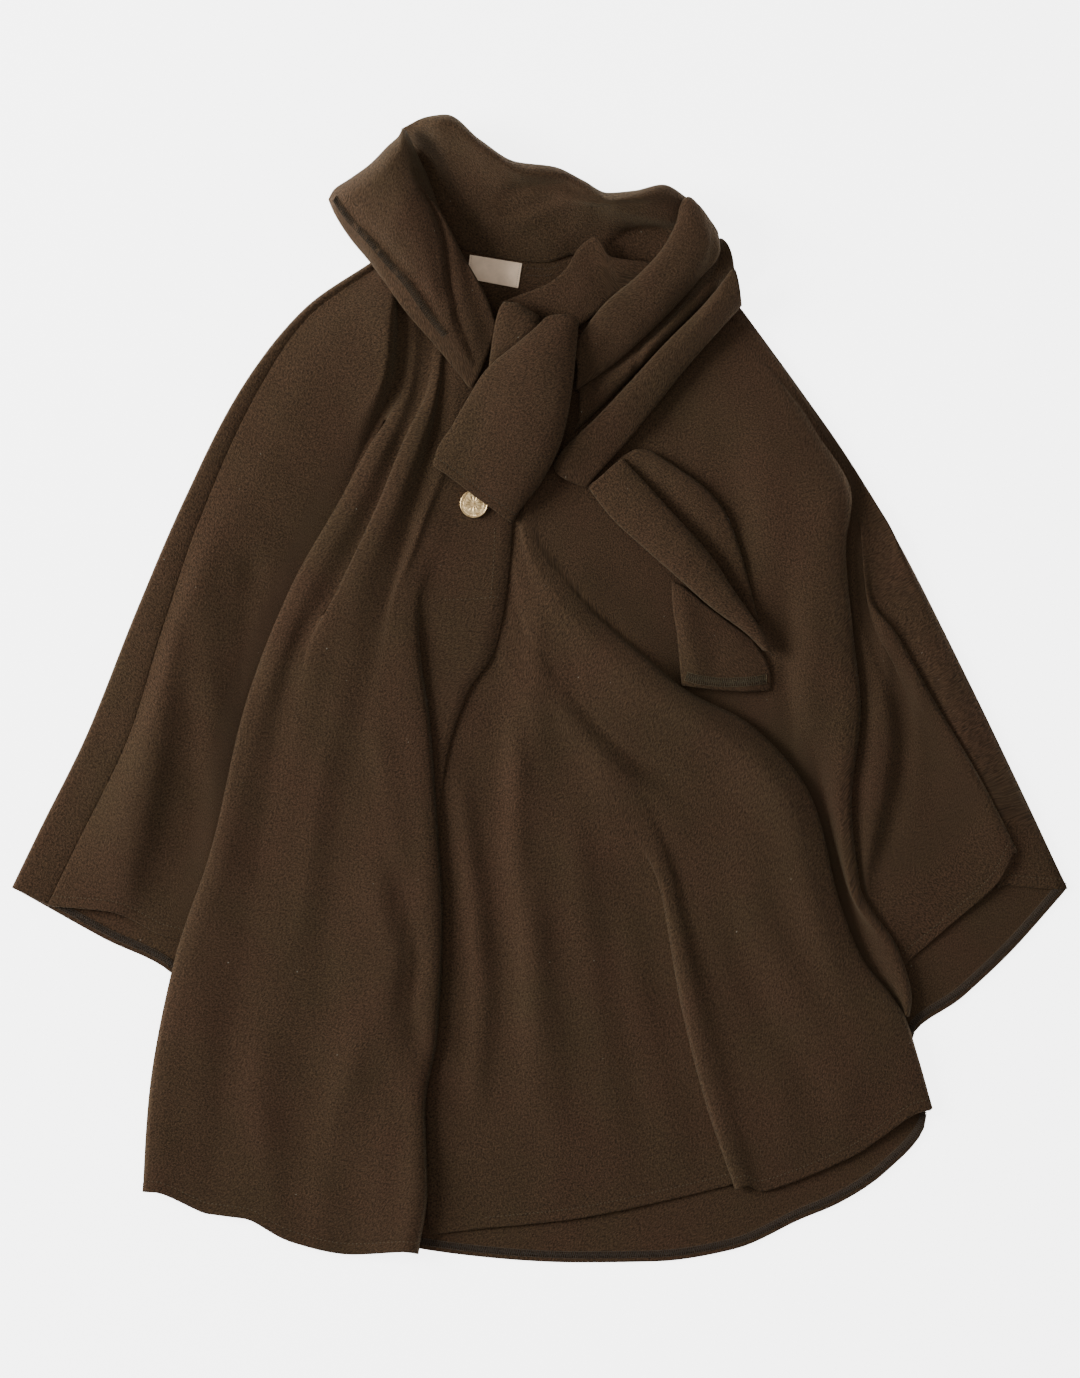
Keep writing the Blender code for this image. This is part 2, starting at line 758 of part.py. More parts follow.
def to_world(points):
    """Turn plan points in millimetres into world points in metres."""
    x = points[..., 0] - PLAN_CENTRE[0]
    y = PLAN_CENTRE[1] - points[..., 1]
    return np.stack((x, y, points[..., 2]), axis=-1) * MM


def add_mesh(name, vertices, faces, material, collection):
    """Link a mesh object made of the given vertices and faces."""
    mesh = bpy.data.meshes.new(name)
    mesh.from_pydata([tuple(point) for point in vertices], [], faces)
    mesh.update()
    mesh.materials.append(material)
    item = bpy.data.objects.new(name, mesh)
    collection.objects.link(item)
    return item


def add_sheet(name, lines, material, collection, wall=CLOTH_WALL, step=GRID_STEP, flip=False):
    """Loft a sheet through guide lines and give it its wall."""
    grid = loft(lines, step)
    rows, columns = grid.shape[:2]
    faces = []
    for row in range(rows - 1):
        for column in range(columns - 1):
            first = row * columns + column
            corners = (first, first + columns, first + columns + 1, first + 1)
            faces.append(corners[::-1] if flip else corners)
    item = add_mesh(name, to_world(grid).reshape(-1, 3), faces, material, collection)
    solidify = item.modifiers.new("wall", "SOLIDIFY")
    solidify.thickness = wall * MM
    solidify.offset = 0.0
    solidify.use_even_offset = False
    solidify.use_quality_normals = True
    return item


def rows_between(start, end, rows, z):
    """Return a straight guide line on the plan between two points, at one height."""
    share = np.linspace(0.0, 1.0, rows)[:, None]
    plan = np.array(start) * (1.0 - share) + np.array(end) * share
    return np.column_stack((plan, np.full(rows, z)))


def turned_edge(rows, share, distance, z):
    """Return a line beside the back's fold: a share of the way to the side seam, plus a distance."""
    turn = guide(BACK_TURN, rows)
    along = np.gradient(turn[:, :2], axis=0)
    along /= np.linalg.norm(along, axis=1)[:, None]
    inward = np.column_stack((along[:, 1], -along[:, 0]))
    plan = turn[:, :2] + (share * turn[:, 2:3] + distance) * inward
    return np.column_stack((plan, np.full(rows, z)))


def build_back(material, collection):
    """Back panel: flat on the table, with its edge folded over onto the wearer's right front."""
    rows = BODY_ROWS
    floor = CLOTH_WALL / 2.0
    lines = [turned_edge(rows, 1.0, 0.0, SEAM_Z), turned_edge(rows, 1.0, -SEAM_LEVEL, SEAM_Z)]
    lines.append(turned_edge(rows, 0.5, 0.0, TURN_RISE))
    lines += [turned_edge(rows, 0.0, 3.0, TURN_RISE - 0.2)]
    lines += [turned_edge(rows, 0.0, 0.8, 0.5 * (TURN_RISE + floor)), turned_edge(rows, 0.0, 4.0, floor)]
    lines += [rows_between(ray[:2], ray[2:], rows, floor) for ray in BACK_RAYS]
    lines.append(guide([(x, y, floor) for x, y in BACK_RIGHT_EDGE], rows))
    return add_sheet("back", lines, material, collection, step=BACK_STEP, flip=True)


def build_front_right(material, collection):
    """Wearer's right front: sleeve part, two long folds, and the closing edge turned under itself."""
    rows = BODY_ROWS
    lines = [turned_edge(rows, 1.0, SEAM_GAP, SEAM_Z)]
    lines.append(turned_edge(rows, 1.0, SEAM_GAP + SEAM_LEVEL, SEAM_Z))
    lines += [guide(RIGHT_SLEEVE_RIDGE, rows), guide(RIGHT_SLEEVE_HEAD, rows)]
    lines += fold_guides(RIGHT_FOLD_OUTER, -1, RIGHT_OUTER_DROP, rows)
    lines += fold_guides(RIGHT_FOLD_INNER, -1, RIGHT_INNER_DROP, rows)
    lines += [guide(RIGHT_VALLEY, rows), guide(RIGHT_CENTRE, rows)]
    lines += fold_guides(CLOSING_FOLD, 1, CLOSING_DROP, rows)
    lines.append(guide(CLOSING_EDGE, rows))
    return add_sheet("front_right", lines, material, collection)


def build_front_left(material, collection):
    """Wearer's left front: the raised flap between two folds, the shoulder fold and the cuff flap."""
    rows = BODY_ROWS
    lines = [guide(LEFT_HIDDEN_EDGE, rows), guide(LEFT_VALLEY, rows), guide(LEFT_RIDGE, rows)]
    lines += fold_guides(FLAP_FOLD_LEFT, -1, FLAP_LEFT_DROP, rows)
    lines += [guide(FLAP_VALLEY, rows), guide(FLAP_RIDGE, rows)]
    lines += fold_guides(FLAP_FOLD_RIGHT, 1, FLAP_RIGHT_DROP, rows)
    lines.append(guide(BODICE, rows))
    lines += fold_guides(SHOULDER_FOLD, 1, SHOULDER_DROP, rows)
    lines += [guide(STRIP_CREST, rows), guide(STRIP_FOOT, rows)]
    lines += [guide(CUFF_FLAP, rows), guide(CUFF_CREST, rows)]
    lines += fold_guides(CUFF_FOLD, 1, CUFF_DROP, rows)
    lines += [guide(SIDE_STRIP, rows), guide(SIDE_EDGE, rows)]
    spread(lines, 0, FLAP_LINES[1], FLAP_START)
    spread(lines, SLEEVE_LINES[0], SLEEVE_LINES[1], SLEEVE_START)
    return add_sheet("front_left", lines, material, collection)


def build_collar(material, collection):
    """The stretches of the scarf collar that show, each a sheet of its own."""
    for name, tables, rows, lowered in COLLAR_STRETCHES:
        lines = [guide(table, rows) - (0.0, 0.0, lowered) for table in tables]
        add_sheet(name, lines, material, collection, step=COLLAR_STEP)


def build_label(material, collection):
    """Blank woven label on the inside of the back, under the neck seam."""
    corners = np.array([(x, y, LABEL_FOOT) for x, y in LABEL_CORNERS], dtype=float)
    upper = corners + (0.0, 0.0, LABEL_WALL)
    faces = [(0, 1, 2, 3), (7, 6, 5, 4)]
    faces += [(4 + i, 4 + (i + 1) % 4, (i + 1) % 4, i) for i in range(4)]
    return add_mesh("label", to_world(np.vstack((corners, upper))), faces, material, collection)


def build_button(material, collection):
    """Coin-style button: a disc with a rim, turned from its profile."""
    profile = (
        (0.0, 0.0),
        (BUTTON_RADIUS - 1.5, 0.0),
        (BUTTON_RADIUS, 1.0),
        (BUTTON_RADIUS, 2.4),
        (BUTTON_RADIUS - 1.0, 3.2),
        (BUTTON_RADIUS - 2.4, 2.4),
        (0.0, 2.6),
    )
    vertices = [(radius * MM, 0.0, height * MM) for radius, height in profile]
    mesh = bpy.data.meshes.new("button")
    mesh.from_pydata(vertices, [(i, i + 1) for i in range(len(vertices) - 1)], [])
    mesh.materials.append(material)
    item = bpy.data.objects.new("button", mesh)
    collection.objects.link(item)
    screw = item.modifiers.new("turn", "SCREW")
    screw.axis = "Z"
    screw.angle = 2.0 * math.pi
    screw.steps = BUTTON_SIDES
    screw.render_steps = BUTTON_SIDES
    screw.use_merge_vertices = True
    screw.merge_threshold = 0.0001
    screw.use_normal_calculate = True
    place = to_world(np.array((BUTTON_CENTRE[0], BUTTON_CENTRE[1], BUTTON_FOOT)))
    item.location = tuple(place)
    return item


def main():
    """Build the coat."""
    clear_scene()
    collection = make_collection(OBJECT_NAME)
    cloth = make_material("felted_wool", OLIVE, 0.95)
    woven = make_material("woven_label", CREAM, 0.8)
    metal = make_material("button_metal", PALE_GOLD, 0.35, 1.0)
    build_back(cloth, collection)
    build_front_left(cloth, collection)
    build_front_right(cloth, collection)
    build_collar(cloth, collection)
    build_label(woven, collection)
    build_button(metal, collection)


main()
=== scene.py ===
"""Looks of the poncho coat laid flat: felted wool, sewing, a blank neck label and a coin-style button.

The plan is in millimetres: x to the right and y down from the upper left corner of the photograph's
frame, z up from the surface that the coat lies on. Every sheet of cloth is a surface through guide lines
that run from the neck to the hem, read on a fine grid, with creases and hems added and its two faces set
off from its middle.
"""

import logging
import math
from dataclasses import dataclass, field
from enum import Enum

import bpy
import numpy as np
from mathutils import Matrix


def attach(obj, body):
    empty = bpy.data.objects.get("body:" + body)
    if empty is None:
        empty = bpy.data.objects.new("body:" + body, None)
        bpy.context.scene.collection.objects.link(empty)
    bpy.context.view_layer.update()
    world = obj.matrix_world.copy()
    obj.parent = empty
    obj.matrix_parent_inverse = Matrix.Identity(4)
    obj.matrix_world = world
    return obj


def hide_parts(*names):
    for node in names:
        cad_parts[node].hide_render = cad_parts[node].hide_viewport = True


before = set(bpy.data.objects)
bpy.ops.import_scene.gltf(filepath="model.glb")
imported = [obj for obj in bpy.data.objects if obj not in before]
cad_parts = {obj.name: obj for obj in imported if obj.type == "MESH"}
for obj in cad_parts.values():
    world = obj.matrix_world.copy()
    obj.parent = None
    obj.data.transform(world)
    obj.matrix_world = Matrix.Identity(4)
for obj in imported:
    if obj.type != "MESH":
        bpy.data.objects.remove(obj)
LOG = logging.getLogger("poncho_coat")

MM = 0.001
PLAN_CENTRE = (539.5, 689.1)
PHOTO_SIZE = (1080.0, 1378.0)
BODY = "root"

Rows = tuple[tuple[float, ...], ...]
Colour = tuple[float, float, float, float]
Span = tuple[float, float]
Socket = bpy.types.NodeSocket

# The grid is fine up to this distance from a hem, with this step down to the hem or across to it.
FINE_DEPTH = 17.0
FINE_STEP = 1.3
FINE_STEP_ACROSS = 1.5 * FINE_STEP
# Least plan distance between two rows of a table.
LEAST_CHORD = 1.0
# Distance of a hem's sewing from the edge of its turned cloth.
HEM_SEWING = 1.5
# Columns of a lapped fold's rows, after x and y. The lap and the width scale vectors, so they are slices.
LAP, LOW, HIGH, WIDTH = slice(2, 3), 3, 4, slice(5, 6)
# Places of the colours among the Mix node's inputs and outputs.
MIX_FIRST, MIX_SECOND, MIX_RESULT = 6, 7, 2

# Back panel, flat on the surface. Columns: x and y at the neck or shoulder, x and y at the hem.
BACK_RAYS: Rows = (
    (412, 243, 104, 938),
    (440, 238, 172, 973),
    (465, 246, 225, 1070),
    (485, 251, 320, 1185),
    (505, 255, 419, 1248),
    (545, 259, 576, 1262),
    (562, 256, 655, 1261),
    (578, 251, 733, 1249),
    (600, 247, 800, 1219),
    (614, 245, 838, 1203),
    (628, 244, 886, 1171),
    (645, 243, 926, 1117),
    (668, 247, 912, 1040),
    (690, 256, 962, 997),
    (712, 277, 1008, 954),
)
# Right edge of the back, under the side seam. Columns: x, y.
BACK_RIGHT_EDGE: Rows = ((738, 309), (790, 380), (845, 457), (896, 543), (969, 685), (1022, 795), (1067, 888))
# The back's fold at the wearer's right side, from the shoulder to the cuff. Columns: x and y of the
# fold, then how far in the seam lies on the upper side.
BACK_TURN: Rows = (
    (371, 262, 8), (306, 307, 9), (242, 387, 16), (184, 500, 22), (135, 614, 31), (86, 736, 40),
    (40, 829, 40), (12, 887, 40),
)
# Guide lines of the wearer's right front. Columns: x, y, z. The side seam's two come from the back's fold.
RIGHT_SLEEVE_RIDGE: Rows = (
    (386, 274, 10), (340, 325, 13), (285, 430, 11), (194, 600, 11), (154, 740, 12), (134, 815, 11),
    (110, 911, 6),
)
RIGHT_SLEEVE_HEAD: Rows = (
    (396, 282, 12), (388, 330, 20), (384, 372, 19), (348, 430, 10), (290, 545, 6), (232, 680, 5),
    (190, 830, 4.5), (160, 934, 4),
)
RIGHT_VALLEY: Rows = (
    (452, 300, 6), (437, 415, 5.6), (410, 520, 7), (374, 650, 10.5), (346, 770, 9.6), (322, 950, 9),
    (290, 1241, 4.6),
)
RIGHT_CENTRE: Rows = (
    (468, 316, 7), (452, 430, 9), (416, 540, 11), (390, 620, 12), (384, 690, 12.6), (388, 760, 13),
    (374, 900, 14), (360, 1060, 13), (352, 1254, 5.5),
)
CLOSING_EDGE: Rows = (
    (514, 324, 6), (516, 420, 6), (512, 524, 6), (506, 590, 6.4), (494, 650, 6.4), (466, 695, 6),
    (444, 770, 5.2), (434, 870, 5.2), (434, 1000, 5.2), (419, 1110, 5.2), (412, 1250, 5.2),
)
# Lapped folds. Columns: x and y of the fold's edge, lap, lower z, upper z, width up to the crest.
RIGHT_FOLD_OUTER: Rows = (
    (408, 286, -3, 7, 8, 5),
    (411, 345, -3, 4.4, 7, 4),
    (407, 382, -3, 3.6, 8, 4),
    (394, 410, -2, 3.6, 10, 7),
    (372, 443, 3, 3.6, 14, 12),
    (340, 501, 8, 3.4, 14, 14),
    (290, 590, 9, 3.2, 14, 14),
    (245, 708, 10, 3.0, 13, 14),
    (212, 850, 10, 3.0, 13, 14),
    (172, 972, 10, 3.0, 14, 14),
    (149, 1100, 10, 3.0, 12, 14),
    (143, 1191, 8, 2.9, 9, 14),
)
RIGHT_FOLD_INNER: Rows = (
    (438, 296, -4, 6, 7, 5),
    (436, 350, -4, 5, 8, 5),
    (430, 388, -3, 5, 12, 6),
    (408, 432, 4, 8, 17, 14),
    (378, 505, 5, 9, 18, 14),
    (338, 590, 3, 9, 16, 14),
    (312, 644, -4, 9, 14, 14),
    (300, 705, -9, 9, 13, 16),
    (289, 790, -12, 9.6, 13, 18),
    (272, 920, -14, 9.6, 12, 18),
    (246, 1080, -14, 8.4, 10, 18),
    (228, 1216, -14, 4.4, 4.8, 18),
)
CLOSING_FOLD: Rows = (
    (488, 320, -4, 6.4, 7, 5),
    (474, 430, -6, 6.2, 7, 8),
    (440, 530, -10, 6, 7.6, 12),
    (417, 605, -4, 5.4, 12, 12),
    (421, 660, 7, 5.2, 14, 14),
    (430, 725, 28, 5.2, 14, 14),
    (436, 805, 38, 5.2, 14, 14),
    (443, 920, 40, 5.2, 14, 14),
    (437, 1034, 36, 5.2, 14, 14),
    (425, 1110, 32, 5.2, 13, 14),
    (427, 1190, 28, 5.2, 14, 14),
    (418, 1253, 24, 5.2, 14, 14),
)

# Guide lines of the wearer's left front. Columns: x, y, z.
LEFT_HIDDEN_EDGE: Rows = (
    (466, 332, 2.8), (446, 430, 2.8), (430, 620, 2.8), (426, 900, 2.8), (424, 1180, 2.8), (431, 1234, 3.4),
)
LEFT_VALLEY: Rows = (
    (480, 328, 2.8), (464, 480, 2.8), (458, 600, 2.8), (474, 690, 3.0), (490, 760, 3.2), (486, 860, 3.2),
    (489, 990, 3.2), (484, 1228, 3.4),
)
LEFT_RIDGE: Rows = (
    (494, 324, 2.8), (480, 480, 2.8), (476, 600, 2.9), (503, 695, 4), (530, 775, 9), (548, 860, 8),
    (560, 1000, 8), (571, 1219, 4),
)
FLAP_VALLEY: Rows = (
    (541, 300, 3.4), (524, 430, 3), (513, 530, 3.4), (527, 622, 9), (590, 718, 9), (632, 765, 7),
    (668, 850, 8), (698, 950, 11), (732, 1060, 11), (760, 1191, 4.4),
)
FLAP_RIDGE: Rows = (
    (549, 296, 3.6), (532, 430, 3.2), (519, 530, 4.4), (545, 612, 13), (616, 702, 15), (664, 740, 13),
    (716, 780, 12), (768, 890, 12), (800, 1000, 12), (836, 1090, 9), (852, 1156, 4.4),
)
BODICE: Rows = (
    (610, 276, 6), (650, 400, 4.8), (700, 520, 4.6), (735, 600, 4.6), (775, 680, 4.6), (812, 750, 4.4),
    (836, 850, 4), (868, 950, 3.6), (900, 1009, 3.2),
)
STRIP_CREST: Rows = (
    (744, 322, 9), (828, 441, 7), (850, 510, 5.6), (851, 590, 5), (874, 680, 8), (887, 745, 9.5),
    (876, 815, 9), (866, 880, 6.5), (904, 948, 4), (909, 960, 3.6),
)
STRIP_FOOT: Rows = (
    (746, 320, 8.5), (832, 441, 6.5), (854, 510, 5), (855, 590, 4.2), (886, 680, 4), (900, 745, 3.4),
    (889, 815, 3.4), (876, 880, 3.4), (911, 943, 3.2), (915, 955, 3.0),
)
CUFF_FLAP: Rows = (
    (748, 318, 8.5), (835, 441, 6), (857, 520, 4.4), (863, 600, 4.2), (900, 680, 5), (925, 750, 6),
    (943, 840, 6), (951, 924, 3.6),
)
CUFF_CREST: Rows = (
    (749, 317.5, 8.5), (837, 441, 5.8), (860, 520, 4.3), (867, 600, 4.6), (916, 700, 7.4), (940, 752, 8.4),
    (974, 826, 8.6), (1001, 878, 7.2),
)
SIDE_STRIP: Rows = (
    (753, 316, 9), (850, 440, 7), (905, 560, 7), (950, 665, 7), (1000, 770, 7), (1032, 850, 6),
    (1040, 888, 3.2),
)
SIDE_EDGE: Rows = (
    (740, 308, 4.5), (792, 379, 3.6), (847, 457, 3.2), (898, 543, 3.2), (970, 685, 3.2), (1023, 795, 3.2),
    (1067, 889, 2.8),
)
FLAP_FOLD_LEFT: Rows = (
    (528, 306, -4, 3, 3.3, 4),
    (512, 430, -4, 3, 3.2, 4),
    (501, 530, -4, 3, 3.3, 5),
    (508, 600, -6, 3.2, 4.6, 6),
    (540, 680, -10, 8, 10, 10),
    (595, 765, -10, 7, 9.5, 12),
    (638, 830, -8, 6, 10, 14),
    (660, 890, 4, 4.6, 13, 14),
    (680, 1000, 9, 3.6, 14, 14),
    (705, 1100, 10, 3.2, 11, 14),
    (735, 1189, 6, 2.9, 8, 14),
)
FLAP_FOLD_RIGHT: Rows = (
    (557, 292, -6, 4, 4.4, 4),
    (541, 430, -6, 3.6, 4, 5),
    (531, 525, -6, 4, 7, 7),
    (570, 590, -8, 5, 17, 14),
    (650, 664, -3, 3.6, 22, 20),
    (690, 693, 4, 3.4, 22, 22),
    (750, 725, 8, 3.2, 20, 22),
    (812, 800, 10, 3.2, 17, 20),
    (840, 905, 10, 3.2, 15, 18),
    (865, 965, 12, 3.2, 15, 16),
    (903, 1014, 12, 3.0, 15, 16),
    (917, 1056, 12, 2.9, 12, 16),
    (932, 1108, 8, 2.8, 8.4, 16),
)
SHOULDER_FOLD: Rows = (
    (720, 318, -4, 5.6, 6.4, 8),
    (771, 374, -3, 6, 11, 14),
    (815, 432, 2, 5, 17, 18),
    (851, 500, 6, 4.6, 20, 20),
    (845, 548, 6, 4.2, 18, 18),
    (852, 630, 7, 4.0, 16, 18),
    (860, 710, 6, 3.8, 14, 14),
    (851, 800, 5, 3.8, 12, 10),
    (860, 888, 5, 3.8, 11, 8),
    (898, 950, 6, 3.6, 10, 6),
    (911, 1000, 6, 3.2, 11, 4),
    (909, 1016, 5, 2.9, 10.5, 3),
)
CUFF_FOLD: Rows = (
    (750, 317, -4, 8, 9, 3),
    (838, 441, -4, 5.6, 7, 3),
    (862, 520, -4, 4, 5.4, 3),
    (870, 597, -2, 3.4, 7.4, 3),
    (895, 633, 5, 3.2, 9.4, 5),
    (933, 700, 9, 3.2, 9.5, 8),
    (980, 780, 16, 3.2, 9.5, 8),
    (1017, 851, 30, 2.9, 9.4, 5),
)

# Scarf collar. Each sheet is a set of guide lines with columns x, y, z.
COLLAR_BACK: tuple[Rows, ...] = (
    (
        (432, 238, 2.9), (465, 249, 2.9), (505, 258, 2.9), (545, 262, 2.9), (577, 254, 2.9), (606, 256, 4),
        (640, 264, 5), (680, 258, 6),
    ),
    (
        (428, 214, 5), (462, 228, 9), (503, 238, 10), (547, 242, 12), (580, 234, 14), (608, 232, 13),
        (645, 232, 10), (684, 236, 14),
    ),
    (
        (424, 190, 8), (462, 200, 18), (500, 212, 19), (548, 208, 23), (590, 208, 32), (622, 213, 36),
        (662, 220, 32), (682, 226, 25),
    ),
    (
        (419, 160, 9), (450, 160, 30), (505, 184, 34), (555, 192, 36), (596, 204, 40), (628, 204, 43),
        (664, 206, 40), (681, 215, 33),
    ),
    (
        (405, 134, 15), (444, 126, 44), (484, 151, 44), (522, 174, 43), (556, 178, 42), (590, 194, 42),
        (612, 203, 43), (636, 200, 45), (664, 196, 42), (682, 205, 35),
    ),
    (
        (402, 130, 15), (428, 119, 32), (446, 117, 34), (480, 142, 33), (516, 164, 32), (554, 169, 32),
        (582, 182, 32), (608, 195, 32), (634, 193, 34), (662, 187, 36), (690, 202, 27),
    ),
    (
        (408, 137, 9), (450, 129, 10), (488, 157, 9), (522, 177, 9), (556, 182, 9), (592, 201, 9),
        (632, 204, 9), (662, 200, 12), (680, 206, 14),
    ),
    (
        (428, 152, 0.8), (454, 148, 0.8), (494, 173, 0.8), (534, 194, 0.8), (588, 215, 0.8), (632, 218, 0.8),
        (660, 216, 0.8), (674, 218, 2),
    ),
)
COLLAR_LEFT: tuple[Rows, ...] = (
    (
        (420, 165, 18), (423, 168, 22), (427, 177, 27), (433, 194, 31), (447, 228, 30), (465, 263, 22),
        (489, 308, 16), (499, 338, 13),
    ),
    (
        (410, 157, 8), (404, 131, 34), (408, 146, 46), (417, 180, 47), (437, 210, 44), (457, 251, 37),
        (482, 294, 29), (497, 330, 22),
    ),
    (
        (406, 162, 6), (399, 139, 36), (402, 152, 50), (412, 186, 51), (431, 222, 46), (445, 276, 38),
        (465, 330, 29), (487, 356, 21),
    ),
    (
        (400, 170, 5), (389, 148, 36), (394, 164, 52), (404, 200, 53), (424, 246, 46), (440, 300, 36),
        (456, 344, 27), (482, 368, 20),
    ),
    (
        (390, 180, 4), (371, 166, 32), (378, 182, 49), (390, 216, 49), (408, 260, 41), (428, 306, 32),
        (448, 346, 24), (478, 377, 18),
    ),
    (
        (370, 194, 4), (351, 180, 24), (358, 196, 40), (374, 230, 39), (392, 268, 32), (414, 310, 26),
        (442, 348, 21), (474, 384, 16),
    ),
    (
        (352, 210, 4), (334, 191, 14), (340, 206, 26), (358, 236, 27), (378, 270, 24), (404, 309, 21),
        (436, 346, 18), (471, 388, 14),
    ),
    (
        (347, 217, 3.4), (329, 200, 9), (335, 214, 18), (350, 238, 20), (370, 262, 19), (400, 301, 17),
        (434, 338, 15), (468, 386, 12.6),
    ),
)
COLLAR_RIGHT: tuple[Rows, ...] = (
    (
        (694, 226, 26), (688, 214, 38), (682, 228, 36), (672, 252, 32), (652, 278, 28), (616, 310, 24),
        (592, 338, 20), (580, 356, 18),
    ),
    (
        (696, 222, 24), (681, 206, 44), (677, 222, 44), (664, 248, 41), (640, 275, 37), (605, 305, 33),
        (584, 332, 28), (574, 350, 25),
    ),
    (
        (700, 224, 18), (688, 199, 42), (689, 224, 50), (676, 254, 47), (650, 284, 42), (616, 314, 37),
        (594, 342, 31), (576, 360, 27),
    ),
    (
        (704, 231, 14), (697, 206, 42), (699, 230, 49), (688, 262, 46), (661, 293, 41), (628, 324, 35),
        (603, 350, 29), (578, 370, 25),
    ),
    (
        (709, 241, 12), (706, 217, 39), (709, 240, 45), (698, 270, 41), (671, 301, 36), (638, 333, 31),
        (611, 359, 26), (577, 382, 22),
    ),
    (
        (712, 248, 10), (717, 235, 30), (719, 252, 35), (705, 272, 32), (678, 303, 29), (645, 336, 25),
        (615, 363, 21), (576, 390, 18.4),
    ),
    (
        (707, 252, 8), (711, 246, 20), (710, 258, 25), (696, 276, 24), (670, 304, 22), (638, 334, 19),
        (608, 359, 16), (573, 384, 13.6),
    ),
)
COLLAR_BAND: tuple[Rows, ...] = (
    (
        (710, 262, 14), (696, 278, 14), (668, 304, 13.4), (636, 334, 13), (606, 359, 12), (575, 384, 11.4),
    ),
    (
        (720, 239, 17), (707, 274, 21), (682, 307, 20), (649, 340, 19), (619, 367, 18), (580, 394, 15),
    ),
    (
        (727, 245, 24), (713, 279, 27), (685, 310, 25), (653, 344, 24), (624, 372, 22), (580, 406, 17.4),
    ),
    (
        (732, 258, 25), (719, 282, 25), (692, 311, 23), (658, 345, 22), (628, 376, 20), (579, 420, 15.4),
    ),
    (
        (734, 272, 21), (724, 284, 20), (696, 310, 19), (661, 346, 18), (630, 378, 15), (597, 411, 12),
        (574, 432, 11.2),
    ),
)
COLLAR_STRAP: tuple[Rows, ...] = (
    (
        (722, 296, 14), (704, 312, 14), (672, 346, 13), (638, 384, 12), (608, 416, 11.4), (570, 452, 10),
        (561, 463, 9.4),
    ),
    (
        (726, 280, 31), (700, 310, 30.4), (664, 346, 27), (632, 381, 23), (600, 415, 20), (561, 454, 17),
        (554, 466, 13),
    ),
    (
        (733, 270, 36), (707, 313, 35), (671, 349, 30.4), (638, 385, 26), (606, 420, 22.6), (566, 459, 19),
        (557, 473, 15.4),
    ),
    (
        (738, 284, 35), (714, 318, 33), (680, 354, 29), (646, 391, 25), (614, 427, 21.6), (574, 467, 18),
        (567, 480, 15),
    ),
    (
        (741, 306, 24), (722, 327, 24), (689, 364, 22), (655, 406, 18.6), (624, 444, 16), (594, 477, 14),
        (586, 487, 12.4),
    ),
    (
        (730, 306, 12), (712, 326, 12), (680, 364, 11.6), (648, 402, 11), (616, 440, 10.4), (586, 470, 9.8),
        (576, 479, 9),
    ),
)
COLLAR_ROOT: tuple[Rows, ...] = (
    (
        (498, 304, 12), (520, 296, 14), (548, 285, 16), (566, 270, 18), (580, 248, 21), (596, 238, 22),
        (611, 258, 21), (654, 264, 20),
    ),
    (
        (504, 314, 11), (530, 309, 13), (556, 300, 15), (578, 286, 17), (593, 266, 19), (603, 256, 21),
        (617, 271, 19), (650, 271, 18),
    ),
    (
        (520, 332, 10), (545, 333, 11), (570, 330, 12), (590, 318, 12.6), (606, 304, 13), (620, 292, 14),
        (634, 284, 15), (647, 277, 16),
    ),
)
KNOT_LOOP: tuple[Rows, ...] = (
    ((500, 346, 17), (502, 322, 20), (506, 308, 22), (514, 312, 21)),
    ((489, 372, 22), (492, 348, 27), (499, 312, 30), (504, 303, 26)),
    ((496, 366, 26), (505, 345, 32), (513, 318, 34), (516, 304, 28)),
    ((504, 357, 27), (519, 340, 34), (527, 322, 35), (529, 311, 28)),
    ((512, 350, 25), (531, 336, 31), (538, 328, 31), (539, 318, 26)),
    ((514, 344, 18), (526, 334, 21), (530, 328, 21), (530, 322, 19)),
)
SCARF_END: tuple[Rows, ...] = (
    (
        (545, 334, 33), (520, 352, 31), (498, 374, 27), (482, 400, 22), (466, 426, 18), (450, 448, 15.4),
        (444, 463, 14.2),
    ),
    (
        (542, 326, 37), (512, 349, 37), (486, 372, 33), (467, 402, 28), (452, 428, 23), (437, 452, 19),
        (434, 465, 18),
    ),
    (
        (548, 318, 38), (524, 350, 43), (500, 380, 40), (484, 412, 34), (470, 440, 28), (458, 466, 23),
        (454, 480, 20),
    ),
    (
        (560, 316, 38), (545, 352, 46), (527, 388, 44), (512, 425, 38), (498, 458, 31), (484, 486, 24),
        (476, 497, 20),
    ),
    (
        (571, 318, 37), (564, 352, 43), (553, 393, 43), (540, 435, 37), (524, 472, 30), (505, 503, 22),
        (497, 512, 18),
    ),
    (
        (578, 323, 33), (575, 356, 35), (571, 393, 34), (562, 438, 29), (541, 482, 22), (519, 511, 16),
        (512, 523, 13),
    ),
    (
        (570, 336, 26), (566, 360, 26), (562, 393, 25), (552, 434, 22), (532, 474, 17), (510, 504, 13.4),
        (504, 514, 12),
    ),
)
